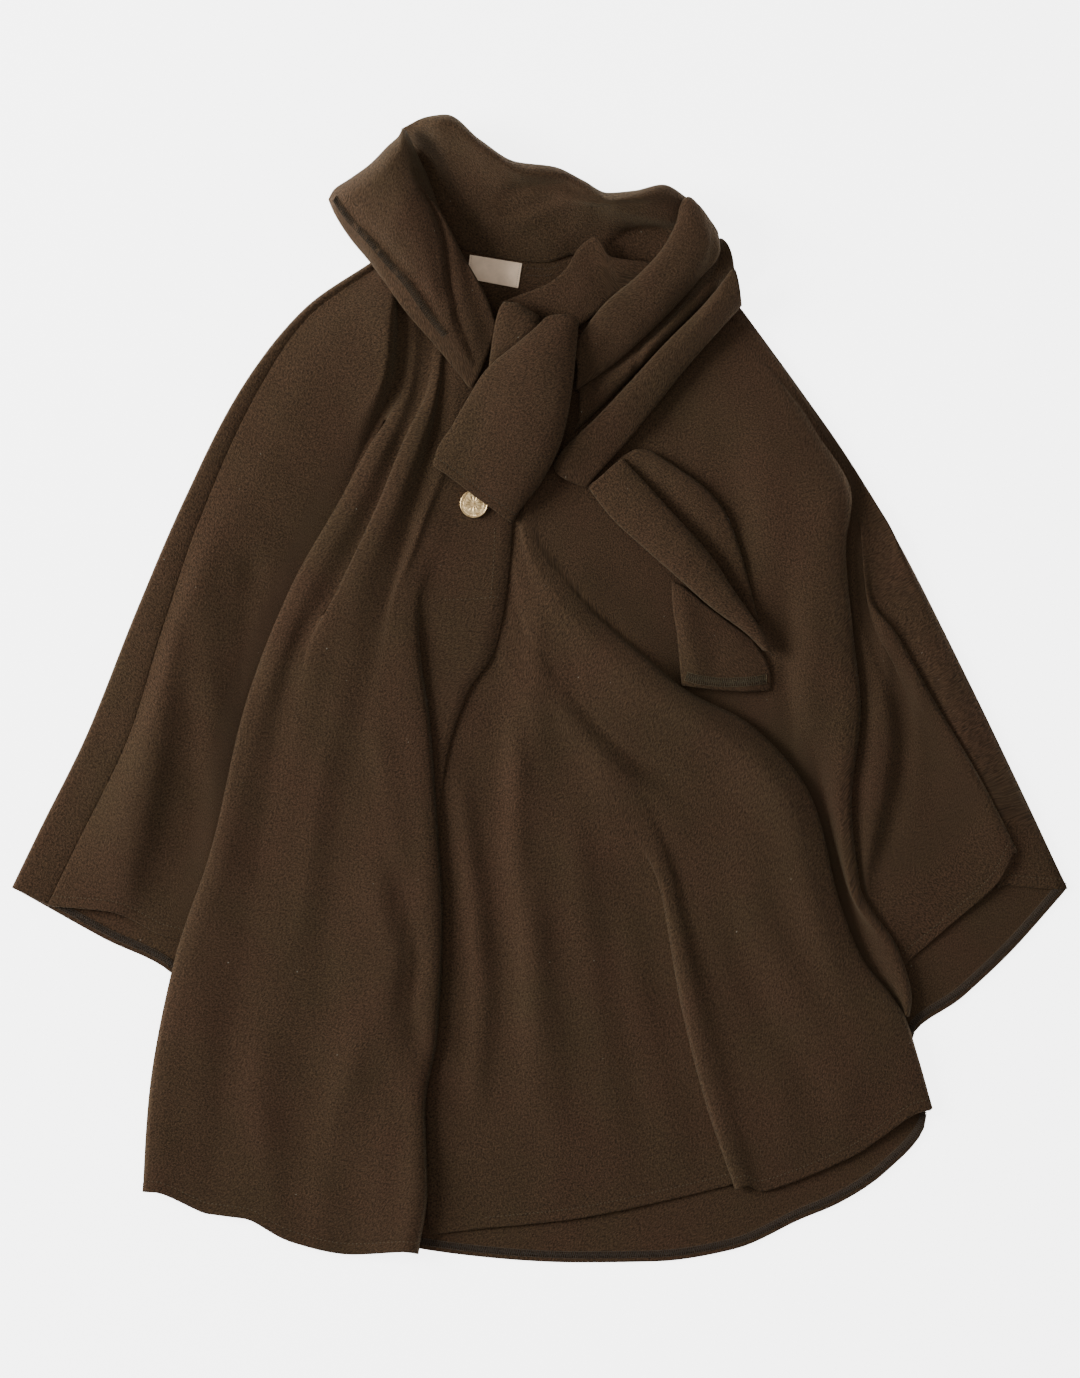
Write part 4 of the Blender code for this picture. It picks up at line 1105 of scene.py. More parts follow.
@dataclass(frozen=True)
class StudioPaper(Finish):
    """Plain pale paper that the coat lies on, lit from behind as on a light table."""

    name: str = "studio_paper"
    white: Colour = (0.90, 0.90, 0.90, 1.0)
    glow: float = 5.0
    tooth_per_metre: float = 300.0

    def make(self) -> bpy.types.Material:
        """Give one pale colour with a faint tooth."""
        graph = Graph(self.name)
        grain = graph.noise(graph.place("Object"), self.tooth_per_metre, detail=2.0)
        tooth = graph.bump(grain, strength=0.05, distance=0.0002)
        return graph.dress(
            Base_Color=self.white, Normal=tooth, Roughness=0.9,
            Emission_Color=self.white, Emission_Strength=self.glow,
        )


def add_mesh(
    name: str, points: np.ndarray, faces: list, finish: Finish, weave: np.ndarray | None = None
) -> bpy.types.Object:
    """Put points and faces into a smooth mesh object at the origin.

    Args:
        name: name of the object.
        points: vertices in metres, in the row frame.
        faces: rows of vertex numbers, counter-clockwise from outside.
        finish: what it is dressed in.
        weave: place of each vertex on the flat cloth, in metres, if it has one.

    Returns:
        The new object.
    """
    mesh = bpy.data.meshes.new(name)
    mesh.from_pydata(points.tolist(), [], faces)
    mesh.polygons.foreach_set("use_smooth", np.ones(len(mesh.polygons), dtype=bool))
    if weave is not None:
        corner = np.empty(len(mesh.loops), dtype=np.int32)
        mesh.loops.foreach_get("vertex_index", corner)
        layer = mesh.uv_layers.new(name="cloth")
        layer.data.foreach_set("uv", weave[corner].astype(np.float32).ravel())
    mesh.update()
    mesh.materials.append(finish.material())
    item = bpy.data.objects.new(name, mesh)
    bpy.context.scene.collection.objects.link(item)
    return item


@dataclass
class Sheet:
    """A sheet of cloth through guide lines, with creases, hems and two faces."""

    lines: list[np.ndarray]
    step: float
    wall: float = 1.3
    hems: tuple[Hem, ...] = ()
    creases: tuple[Crease, ...] = ()
    wander: Wander = Wander()
    ground: Wander = SMOOTHED_BY_HAND
    floor: float = 2.9
    settled: float = 0.0
    sink_share: float = 0.8
    wander_room: float = 4.0
    flat_below: float = 1.0
    free_above: float = 3.0
    least_chord: float = 2.0
    rim_share: float = 0.4
    facing_up: float = 0.3
    line_columns: list[int] = field(init=False)
    plan: np.ndarray = field(init=False)
    middle: np.ndarray = field(init=False)
    normal: np.ndarray = field(init=False)
    upper: np.ndarray = field(init=False)
    lower: np.ndarray = field(init=False)
    turned: bool = field(init=False)

    def __post_init__(self) -> None:
        """Work out the sheet's grids."""
        self.plan = self.loft()
        self.middle = to_row(self.plan)
        self.crease()
        self.middle = to_row(self.plan)
        self.find_normals()
        self.set_faces()

    def has(self, edge: Edge) -> bool:
        """Say whether an edge has a hem."""
        return any(hem.edge is edge for hem in self.hems)

    def loft(self) -> np.ndarray:
        """Read a smooth surface across the guide lines.

        Each line's place across is the running sum of the square roots of the mean chords, and between
        lines the surface is read with smooth_read, at even steps that are finer beside a hem.
        """
        stack = np.array(self.lines)
        chords = np.linalg.norm(np.diff(stack, axis=0), axis=2).mean(axis=1)
        knots = np.concatenate(([0.0], np.cumsum(np.sqrt(np.maximum(chords, self.least_chord)))))
        done = np.concatenate(([0.0], np.cumsum(chords)))
        places = [0.0]
        self.line_columns = [0]
        for index, chord in enumerate(chords):
            by_first = self.has(Edge.FIRST) and done[index] < FINE_DEPTH
            by_last = self.has(Edge.LAST) and done[-1] - done[index + 1] < FINE_DEPTH
            count = max(2, round(chord / (FINE_STEP_ACROSS if by_first or by_last else self.step)))
            places.extend(np.linspace(knots[index], knots[index + 1], count + 1)[1:])
            self.line_columns.append(len(places) - 1)
        grid = smooth_read(knots, stack.reshape(len(stack), -1), np.array(places))
        return grid.reshape(len(places), -1, 3).transpose(1, 0, 2)

    def crease(self) -> None:
        """Add creases and unevenness, which may lift the sheet off the one below but not sink into it.

        Sinking stops at its share of the way down to the floor. The sheet's own unevenness fades where
        there is no room, and the unevenness that all layers share lifts what lies above the lowest
        layer, but fades over the settled distance from the hem.
        """
        height = self.plan[..., 2].copy()
        change = ease((height - self.floor) / self.wander_room) * self.wander.lift(self.plan)
        for crease in self.creases:
            change = change + crease.lift(self.plan)
        change = np.maximum(change, np.minimum(self.sink_share * (self.floor - height), 0.0))
        lift = self.ground.rise(self.plan)
        if self.settled:
            lift = lift * ease(self.depth_from(Edge.END) / self.settled)
        free = ease((height - self.flat_below) / (self.free_above - self.flat_below))
        self.plan[..., 2] += free * (change + lift)

    def find_normals(self) -> None:
        """Take the cross product of the grid's two directions, turned so that most of it looks up."""
        normal = np.cross(np.gradient(self.middle, axis=1), np.gradient(self.middle, axis=0))
        self.turned = float(normal[..., 2].sum()) < 0.0
        self.normal = unit(-normal if self.turned else normal)

    def depth_from(self, edge: Edge) -> np.ndarray:
        """Give each point's distance from an edge, along its grid line."""
        axis = 0 if edge in (Edge.START, Edge.END) else 1
        steps = np.linalg.norm(np.diff(self.middle, axis=axis), axis=2)
        zero = np.zeros_like(np.take(steps, [0], axis=axis))
        run = np.concatenate((zero, np.cumsum(steps, axis=axis)), axis=axis)
        if edge in (Edge.START, Edge.FIRST):
            return run
        return np.take(run, [-1], axis=axis) - run

    def set_faces(self) -> None:
        """Set the two faces half a wall off the middle, thicker at a hem, with a groove at its sewing."""
        up = np.full(self.middle.shape[:2], 0.5 * self.wall)
        down = up.copy()
        for hem in self.hems:
            depth = self.depth_from(hem.edge)
            thicker = hem.thicker * ease((hem.depth + 0.5 * hem.fade - depth) / hem.fade)
            if hem.face is Face.LOWER:
                down += thicker
                up += hem.seen_through * thicker
                up -= bell(depth, hem.groove, hem.depth - HEM_SEWING, hem.groove_width)
            else:
                up += thicker
        self.upper = self.middle + up[..., None] * self.normal
        self.lower = self.middle - down[..., None] * self.normal

    def flat_area(self) -> float:
        """Give the sheet's own area in square metres, as half the cross product of each cell's diagonals."""
        one = self.middle[1:, 1:] - self.middle[:-1, :-1]
        two = self.middle[1:, :-1] - self.middle[:-1, 1:]
        return 0.5 * float(np.linalg.norm(np.cross(one, two), axis=2).sum()) * MM * MM

    def rim(self) -> tuple[np.ndarray, np.ndarray]:
        """Give the border's grid places in order, and its points pushed out by a share of the wall."""
        rows, columns = self.middle.shape[:2]
        row = np.concatenate((
            np.zeros(columns - 1, int), np.arange(rows - 1),
            np.full(columns - 1, rows - 1), np.arange(rows - 1, 0, -1),
        ))
        column = np.concatenate((
            np.arange(columns - 1), np.full(rows - 1, columns - 1),
            np.arange(columns - 1, 0, -1), np.zeros(rows - 1, int),
        ))
        inner = self.middle[np.clip(row, 1, rows - 2), np.clip(column, 1, columns - 2)]
        centre = 0.5 * (self.upper[row, column] + self.lower[row, column])
        out = unit(self.middle[row, column] - inner)
        return row * columns + column, centre + self.rim_share * self.wall * out

    def add(self, name: str, finish: Finish) -> bpy.types.Object:
        """Make the mesh: two faces joined round the border by a rounded rim.

        Args:
            name: name of the object.
            finish: what it is dressed in.

        Returns:
            The new object, at the origin.
        """
        LOG.info("%s: %.5f square metres", name, self.flat_area())
        rows, columns = self.middle.shape[:2]
        count = rows * columns
        border, rim = self.rim()
        cell = (np.arange(rows - 1)[:, None] * columns + np.arange(columns - 1)).ravel()
        quad = np.column_stack((cell, cell + 1, cell + columns + 1, cell + columns))
        after = np.roll(border, -1)
        ring = 2 * count + np.arange(len(border))
        ring_after = np.roll(ring, -1)
        faces = np.vstack((
            quad,
            quad[:, ::-1] + count,
            np.column_stack((after, border, ring, ring_after)),
            np.column_stack((ring_after, ring, border + count, after + count)),
        ))
        if self.turned:
            faces = faces[:, ::-1]
        run = np.stack((self.depth_from(Edge.FIRST), self.depth_from(Edge.START)), axis=-1).reshape(-1, 2)
        weave = np.vstack((run, run, run[border]))
        points = np.vstack((self.upper.reshape(-1, 3), self.lower.reshape(-1, 3), rim))
        return add_mesh(name, points * MM, faces.tolist(), finish, weave * MM)

    def row_at(self, edge: Edge, depth: float, first: int, last: int) -> tuple[np.ndarray, np.ndarray]:
        """Give the points and normals of the upper face at a depth from an edge.

        Args:
            edge: the edge that the depth is measured from.
            depth: distance in millimetres.
            first: first grid line of the run.
            last: last grid line of the run.

        Returns:
            Points and normals, one row for each grid line.
        """
        away = self.depth_from(edge)
        upper, normal = self.upper, self.normal
        if edge in (Edge.FIRST, Edge.LAST):
            away, upper, normal = away.T, upper.transpose(1, 0, 2), normal.transpose(1, 0, 2)
        if edge in (Edge.END, Edge.LAST):
            away, upper, normal = away[::-1], upper[::-1], normal[::-1]
        lines = np.arange(first, last + 1)
        index = np.clip((away[:, lines] < depth).sum(axis=0), 1, len(away) - 1)
        before, behind = away[index - 1, lines], away[index, lines]
        part = np.clip((depth - before) / np.maximum(behind - before, 1e-6), 0.0, 1.0)[:, None]
        points = (1.0 - part) * upper[index - 1, lines] + part * upper[index, lines]
        return points, unit((1.0 - part) * normal[index - 1, lines] + part * normal[index, lines])

    def whole_row(self, edge: Edge, depth: float) -> tuple[np.ndarray, np.ndarray]:
        """Give the row at a depth from an edge, one grid line short of each corner."""
        count = self.middle.shape[1 if edge in (Edge.START, Edge.END) else 0]
        return self.row_at(edge, depth, 1, count - 2)

    def on_top(self, rows: Rows, count: int) -> tuple[np.ndarray, np.ndarray]:
        """Lay a smooth path on the sheet's upper face, where it looks up.

        Args:
            rows: x and y on the plan.
            count: how many points are read along the path.

        Returns:
            Points and normals in the row frame, in millimetres, from the four nearest grid points.
        """
        path = read_rows(rows, np.linspace(0.0, 1.0, count))
        facing = self.normal[..., 2] > self.facing_up
        points, normals = self.upper[facing], self.normal[facing]
        spot = to_row(np.column_stack((path, np.zeros(count))))[:, :2]
        away = np.linalg.norm(points[None, :, :2] - spot[:, None], axis=2)
        near = np.argsort(away, axis=1)[:, :4]
        weight = 1.0 / (np.take_along_axis(away, near, axis=1) + 0.5)
        weight /= weight.sum(axis=1, keepdims=True)
        height = (points[near][..., 2] * weight).sum(axis=1)
        normal = unit((normals[near] * weight[..., None]).sum(axis=1))
        return np.column_stack((spot, height)), normal


def resample(points: np.ndarray, normals: np.ndarray, pitch: float) -> tuple[np.ndarray, ...]:
    """Read a path at even steps of its length, and give its points, normals, way along and way across."""
    steps = np.linalg.norm(np.diff(points, axis=0), axis=1)
    run = np.concatenate(([0.0], np.cumsum(steps)))
    places = np.arange(0.5 * pitch, run[-1], pitch)
    both = np.column_stack((points, normals))
    read = np.column_stack([np.interp(places, run, column) for column in both.T])
    centre, up = read[:, :3], unit(read[:, 3:])
    along = unit(np.gradient(centre, axis=0))
    return centre, up, along, unit(np.cross(along, up))


def tube_walls(tubes: int, rings: int, sides: int) -> np.ndarray:
    """Give the wall faces of tubes whose vertices run by tube, by ring and round each ring."""
    ring = np.arange(tubes)[:, None, None] * rings * sides + np.arange(rings - 1)[:, None] * sides
    one, two = ring + np.arange(sides), ring + np.roll(np.arange(sides), -1)
    return np.stack((one, one + sides, two + sides, two), axis=-1).reshape(-1, 4)


def square_tubes(tubes: int, rings: int) -> np.ndarray:
    """Give the faces of closed square tubes: their walls, and a cap on each end."""
    first = (np.arange(tubes) * rings * 4)[:, None]
    last = first + (rings - 1) * 4
    caps = np.vstack((first + np.arange(4), last + np.arange(4)[::-1]))
    return np.vstack((tube_walls(tubes, rings, 4), caps))


def square_rings(
    spine: np.ndarray, size: float | np.ndarray, aside: np.ndarray, up: np.ndarray
) -> np.ndarray:
    """Give a square round each point of a spine, with corners to its sides, above and below."""
    corners = ((1.0, 0.0), (0.0, 1.0), (-1.0, 0.0), (0.0, -1.0))
    return np.stack([spine + size * (a * aside + b * up) for a, b in corners], axis=-2).reshape(-1, 3)


def join(parts: list[tuple[np.ndarray, np.ndarray]]) -> tuple[np.ndarray, np.ndarray]:
    """Join several sets of vertices and faces into one."""
    starts = np.cumsum([0] + [len(points) for points, _ in parts[:-1]])
    faces = np.vstack([faces + start for (_, faces), start in zip(parts, starts)])
    return np.vstack([points for points, _ in parts]), faces


@dataclass(frozen=True)
class RunningStitch:
    """A row of sewing: spindles of thread, half sunk in the cloth.

    The spindle's columns are the place along half the stitch, then the size and the rise, both as
    shares of the thread's radius.
    """

    pitch: float = 4.0
    length: float = 2.9
    radius: float = 0.42
    sink: float = 0.1
    spindle: Rows = ((-1.0, 0.35, -0.8), (-0.45, 1.0, 0.35), (0.45, 1.0, 0.35), (1.0, 0.35, -0.8))

    def build(self, points: np.ndarray, normals: np.ndarray) -> tuple[np.ndarray, np.ndarray]:
        """Set four square rings along each stitch, small and sunk at its ends.

        Args:
            points: path on the cloth.
            normals: the cloth's normals there.

        Returns:
            Vertices in millimetres, and faces.
        """
        centre, up, along, across = (part[:, None] for part in resample(points, normals, self.pitch))
        place, size, rise = (column[:, None] for column in np.array(self.spindle).T)
        spine = centre + 0.5 * self.length * place * along + (self.radius * rise - self.sink) * up
        return square_rings(spine, self.radius * size, across, up), square_tubes(len(centre), 4)


@dataclass(frozen=True)
class Overlock:
    """Overlocked edge: a thread that zigzags over the cloth's cut edge, between two straight ones."""

    pitch: float = 1.1
    reach: float = 2.7
    radius: float = 0.38
    rise: float = 0.25
    straight_reach: float = 0.96
    straight_size: float = 0.8

    def build(self, points: np.ndarray, normals: np.ndarray) -> tuple[np.ndarray, np.ndarray]:
        """Sweep square threads along the zigzag and along each side of it.

        The zigzag's offset across the path is the reach times 1 and -1 in turn. The straight threads
        take every third point.
        """
        centre, up, along, across = resample(points, normals, self.pitch)
        swing = np.where(np.arange(len(centre)) % 2 == 0, 1.0, -1.0)[:, None] * self.reach
        zigzag = centre + swing * across + self.rise * up
        parts = [(square_rings(zigzag, self.radius, along, up), square_tubes(1, len(zigzag)))]
        for side in (-self.straight_reach, self.straight_reach):
            line = (centre + side * self.reach * across + self.straight_size * self.rise * up)[::3]
            rings = square_rings(line, self.straight_size * self.radius, across[::3], up[::3])
            parts.append((rings, square_tubes(1, len(line))))
        return join(parts)


class SubAssembly:
    """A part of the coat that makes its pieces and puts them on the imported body."""

    def place(self, item: bpy.types.Object, slot: Slot, *nodes: str) -> bpy.types.Object:
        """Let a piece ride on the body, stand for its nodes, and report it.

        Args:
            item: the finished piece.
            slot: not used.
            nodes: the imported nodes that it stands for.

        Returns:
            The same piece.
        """
        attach(item, BODY)
        if nodes:
            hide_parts(*nodes)
        triangles = sum(len(face.vertices) - 2 for face in item.data.polygons)
        LOG.info("%s: %d triangles", item.name, triangles)
        return item

    def sew(self, name: str, parts: list, finish: Finish, slot: Slot = Slot.WOOL) -> bpy.types.Object:
        """Make one piece from rows of sewing.

        Args:
            name: name of the piece.
            parts: vertices and faces of each row.
            finish: the thread.
            slot: the record's slot that the thread belongs to.

        Returns:
            The piece, placed.
        """
        points, faces = join(parts)
        return self.place(add_mesh(name, points * MM, faces.tolist(), finish), slot)


@dataclass
class Panel(SubAssembly):
    """What the back and the fronts share: the grid, the hem and the sewing along it."""

    rows: int = 150
    length: float = 960.0
    step: float = 6.0
    hem_depth: float = 12.0

    def share(self) -> np.ndarray:
        """Give the shares of the length at which the guide lines are read."""
        return dense_share(self.rows, self.length, False, True)

    def hem_sewing(self, sheet: Sheet, way: RunningStitch | Overlock, depth: float, runs: tuple) -> list:
        """Sew along the hem at a depth, in runs that each go from one guide line to another."""
        ends = [(sheet.line_columns[first], sheet.line_columns[last]) for first, last in runs]
        return [way.build(*sheet.row_at(Edge.END, depth, *run)) for run in ends]


@dataclass
class BackPanel(Panel):
    """Back: flat on the surface, its edge folded over onto the wearer's right front, hem overlocked."""

    length: float = 900.0
    step: float = 7.5
    hem_depth: float = 11.0
    floor_z: float = 0.8
    seam_z: float = 5.2
    turn_rise: float = 6.4
    seam_level: float = 2.0
    seam_dip: float = 0.9
    overlock_depth: float = 7.2
    overlock: Overlock = Overlock(reach=3.4)
    overlock_runs: tuple[tuple[int, int], ...] = ((4, 7), (10, 17), (18, 21))
    tape: RunningStitch = RunningStitch(2.6, 2.3, 0.34)
    tape_points: int = 20
    thread: SewingThread = SewingThread(
        "overlock_thread", (0.033, 0.024, 0.016, 1.0), (0.088, 0.066, 0.046, 1.0)
    )
    flat: Span = (1.20, 1.02)
    area: float = 0.746

    def turned_edge(self, share: np.ndarray, part: float, distance: float, z: float) -> np.ndarray:
        """Give a line beside the back's fold: a part of the way to the side seam, plus a distance."""
        turn = read_rows(BACK_TURN, share)
        along = unit(np.gradient(turn[:, :2], share, axis=0))
        inward = np.column_stack((along[:, 1], -along[:, 0]))
        plan = turn[:, :2] + (part * turn[:, 2:3] + distance) * inward
        return np.column_stack((plan, np.full(len(share), z)))

    def lines(self, share: np.ndarray) -> list[np.ndarray]:
        """Give the guide lines from the side seam, round the fold and across the flat back."""
        rise, floor = self.turn_rise, self.floor_z
        # Columns: part of the way to the side seam, distance further in, z.
        turned = (
            (1.0, -0.1, self.seam_z - self.seam_dip),
            (1.0, -self.seam_level, self.seam_z),
            (0.5, 0.0, rise),
            (0.0, 3.0, rise - 0.2),
            (0.0, 0.8, 0.5 * (rise + floor)),
            (0.0, 4.0, floor),
        )
        lines = [self.turned_edge(share, *row) for row in turned]
        near, far = 1.0 - share[:, None], share[:, None]
        plans = [near * ray[:2] + far * ray[2:] for ray in np.array(BACK_RAYS, dtype=float)]
        plans.append(read_rows(BACK_RIGHT_EDGE, share))
        return lines + [np.column_stack((plan, np.full(len(share), floor))) for plan in plans]

    def build(self) -> None:
        """Build the cloth, its overlocked hem and the neck tape's sewing."""
        hem = Hem(Edge.END, self.hem_depth, thicker=0.9, face=Face.UPPER)
        sheet = Sheet(self.lines(self.share()), self.step, hems=(hem,), creases=SLEEVE_CREASES, floor=0.0)
        cloth = self.place(sheet.add("back_cloth", FeltedWool()), Slot.WOOL, "back")
        parts = self.hem_sewing(sheet, self.overlock, self.overlock_depth, self.overlock_runs)
        parts += [self.tape.build(*sheet.on_top(rows, self.tape_points)) for rows in NECK_TAPE_SEAMS]
        sewing = self.sew("back_hem_overlock", parts, self.thread)


@dataclass
class FrontPanel(Panel):
    """What the two fronts share: their thread and the way that their hems are sewn."""

    stitch: RunningStitch = RunningStitch(radius=0.55)
    thread: SewingThread = SewingThread(
        "front_thread", (0.038, 0.026, 0.014, 1.0), (0.095, 0.068, 0.038, 1.0)
    )

    def front_sewing(self, sheet: Sheet, runs: tuple) -> list:
        """Sew the hem in runs between guide lines."""
        return self.hem_sewing(sheet, self.stitch, self.hem_depth - HEM_SEWING, runs)


@dataclass
class RightFront(FrontPanel):
    """Wearer's right front, on top: sleeve part, two long folds and the turned closing edge."""

    hem_runs: tuple[tuple[int, int], ...] = ((0, 4), (7, 17))
    placket_points: int = 30
    flat: Span = (0.62, 1.0)
    area: float = 0.338

    def build(self, back: BackPanel) -> None:
        """Build the cloth, its hem and its placket sewing."""
        share = self.share()
        lines = [back.turned_edge(share, 1.0, 0.1, back.seam_z - back.seam_dip)]
        lines.append(back.turned_edge(share, 1.0, back.seam_level, back.seam_z))
        lines += [read_rows(RIGHT_SLEEVE_RIDGE, share), read_rows(RIGHT_SLEEVE_HEAD, share)]
        lines += LappedFold(RIGHT_FOLD_OUTER, Nose.LEFT, drop=-255.0).lines(share)
        lines += LappedFold(RIGHT_FOLD_INNER, Nose.LEFT).lines(share)
        lines += [read_rows(RIGHT_VALLEY, share), read_rows(RIGHT_CENTRE, share)]
        lines += LappedFold(CLOSING_FOLD, Nose.RIGHT, drop=-8.0).lines(share)
        lines.append(read_rows(CLOSING_EDGE, share))
        hem = Hem(Edge.END, self.hem_depth, thicker=0.9, groove=0.8, groove_width=1.6)
        sheet = Sheet(lines, self.step, hems=(hem,), creases=SLEEVE_CREASES + RIGHT_CREASES, floor=5.0)
        cloth = self.place(sheet.add("right_front_cloth", FeltedWool()), Slot.WOOL, "front_right")
        parts = self.front_sewing(sheet, self.hem_runs)
        placket = [sheet.on_top(rows, self.placket_points) for rows in (PLACKET_SEAM, PLACKET_END)]
        parts += [self.stitch.build(*path) for path in placket]
        sewing = self.sew("right_front_sewing", parts, self.thread)


@dataclass
class LeftFront(FrontPanel):
    """Wearer's left front, below: the raised flap between two folds, the shoulder fold, the cuff flap."""

    flap_lines: tuple[int, int] = (0, 15)
    flap_start: Span = (0.06, 0.2)
    sleeve_lines: tuple[int, int] = (20, 31)
    sleeve_start: Span = (0.30, 0.42)
    settled: float = 70.0
    hem_runs: tuple[tuple[int, int], ...] = ((1, 3), (6, 11), (20, 26), (29, 31))
    flat: Span = (0.86, 1.02)
    area: float = 0.475

    def build(self) -> None:
        """Build the cloth and its hem sewing."""
        share = self.share()
        lines = [read_rows(rows, share) for rows in (LEFT_HIDDEN_EDGE, LEFT_VALLEY, LEFT_RIDGE)]
        lines += LappedFold(FLAP_FOLD_LEFT, Nose.LEFT, drop=-6.0).lines(share)
        lines += [read_rows(FLAP_VALLEY, share), read_rows(FLAP_RIDGE, share)]
        lines += LappedFold(FLAP_FOLD_RIGHT, Nose.RIGHT, drop=-105.0).lines(share)
        lines.append(read_rows(BODICE, share))
        lines += LappedFold(SHOULDER_FOLD, Nose.RIGHT, drop=-52.0).lines(share)
        lines += [read_rows(rows, share) for rows in (STRIP_CREST, STRIP_FOOT, CUFF_FLAP, CUFF_CREST)]
        lines += LappedFold(CUFF_FOLD, Nose.RIGHT, drop=24.0).lines(share)
        lines += [read_rows(SIDE_STRIP, share), read_rows(SIDE_EDGE, share)]
        spread(lines, *self.flap_lines, share, self.flap_start)
        spread(lines, *self.sleeve_lines, share, self.sleeve_start)
        hem = Hem(Edge.END, self.hem_depth, thicker=0.2, groove=0.3)
        sheet = Sheet(lines, self.step, hems=(hem,), creases=LEFT_CREASES, settled=self.settled)
        cloth = self.place(sheet.add("left_front_cloth", FeltedWool()), Slot.WOOL, "front_left")
        sewing = self.sew("left_front_sewing", self.front_sewing(sheet, self.hem_runs), self.thread)


@dataclass(frozen=True)
class Stretch:
    """One stretch of the scarf collar: its node, guide lines, seat, hems, creases, cut and sewing."""

    node: str
    lines: tuple[Rows, ...]
    lowered: float
    rests_on: tuple[str, ...]
    flat: Span
    area: float
    held: str = "folded"
    hems: tuple[Hem, ...] = ()
    creases: tuple[Crease, ...] = ()
    stitched: tuple[tuple[Edge, float], ...] = ()
    overlock_path: Rows = ()
    overlock_reach: float = 0.0
    overlock_thread: SewingThread = SewingThread()


COLLAR_THREAD = SewingThread(
    "collar_overlock_thread", (0.024, 0.0155, 0.008, 1.0), (0.062, 0.043, 0.023, 1.0)
)
TAIL_THREAD = SewingThread("tail_overlock_thread", (0.046, 0.034, 0.018, 1.0), (0.125, 0.096, 0.052, 1.0))
COLLAR_STRETCHES: tuple[Stretch, ...] = (
    Stretch(
        "collar_back", COLLAR_BACK, 0.06, ("back_cloth",), (0.30, 0.18), 0.0418, creases=COLLAR_BACK_CREASES
    ),
    Stretch(
        "collar_left", COLLAR_LEFT, 1.7, ("right_front_cloth",), (0.14, 0.27), 0.0280,
        creases=COLLAR_LEFT_CREASES, overlock_path=COLLAR_LEFT_OVERLOCK, overlock_reach=4.0,
        overlock_thread=COLLAR_THREAD,
    ),
    Stretch("collar_right", COLLAR_RIGHT, 4.8, ("left_front_cloth",), (0.09, 0.24), 0.017),
    Stretch(
        "collar_band", COLLAR_BAND, 4.8, ("left_front_cloth",), (0.04, 0.22), 0.0073, creases=BAND_CREASES
    ),
    Stretch(
        "collar_strap", COLLAR_STRAP, 2.0, ("left_front_cloth",), (0.08, 0.26), 0.0155,
        hems=(Hem(Edge.LAST, 9.0, 0.4),), creases=STRAP_CREASES, stitched=((Edge.LAST, 8.0),),
    ),
    Stretch("collar_root", COLLAR_ROOT, 2.4, ("right_front_cloth",), (0.045, 0.19), 0.0066),
    Stretch("knot_loop", KNOT_LOOP, 1.7, ("collar_left_cloth",), (0.06, 0.07), 0.0032),
    Stretch(
        "scarf_end", SCARF_END, 2.8, ("right_front_cloth",), (0.13, 0.215), 0.0224,
        hems=(
            Hem(Edge.END, 10.0, 0.8, groove=0.9, groove_width=1.5),
            Hem(Edge.FIRST, 9.0, 0.7, groove=0.9, groove_width=1.5),
        ),
        stitched=((Edge.END, 9.0),),
    ),
    Stretch("tail_leaf", TAIL_LEAF, 3.1, ("left_front_cloth",), (0.06, 0.212), 0.0090),
    Stretch("tail_fold", TAIL_FOLD, 4.4, ("tail_leaf_cloth",), (0.07, 0.25), 0.0122),
    Stretch(
        "tail_end", TAIL_END, 6.4, ("left_front_cloth",), (0.10, 0.106), 0.0065,
        overlock_path=TAIL_END_OVERLOCK, overlock_reach=4.5, overlock_thread=TAIL_THREAD,
    ),
)


@dataclass
class ScarfCollar(SubAssembly):
    """Scarf collar: stands at the back neck, comes round both sides, and is looped at the front."""

    step: float = 3.5
    wall: float = 1.5
    floor: float = 6.0
    wander: Wander = Wander(0.35, 11, 6, 28.0, 110.0)
    stitch: RunningStitch = RunningStitch()
    thread: SewingThread = SewingThread()
    overlock_points: int = 60

    def build_stretch(self, stretch: Stretch) -> None:
        """Build one stretch with its sewing."""
        length = max(arc_knots(np.array(rows, dtype=float))[-1] for rows in stretch.lines)
        ends = [hem.edge for hem in stretch.hems]
        share = dense_share(round(length / self.step), length, Edge.START in ends, Edge.END in ends)
        lines = [read_rows(rows, share) - (0.0, 0.0, stretch.lowered) for rows in stretch.lines]
        sheet = Sheet(
            lines, self.step, wall=self.wall, hems=stretch.hems, creases=stretch.creases,
            wander=self.wander, floor=self.floor,
        )
        cloth = self.place(sheet.add(stretch.node + "_cloth", FeltedWool()), Slot.WOOL, stretch.node)
        if stretch.overlock_path:
            path = sheet.on_top(stretch.overlock_path, self.overlock_points)
            part = Overlock(reach=stretch.overlock_reach).build(*path)
            self.sew(stretch.node + "_overlock", [part], stretch.overlock_thread)
        if stretch.stitched:
            parts = [self.stitch.build(*sheet.whole_row(edge, depth)) for edge, depth in stretch.stitched]
            self.sew(stretch.node + "_stitches", parts, self.thread)

    def build(self) -> None:
        """Build every stretch in order from the neck to the tail."""
        for stretch in COLLAR_STRETCHES:
            self.build_stretch(stretch)


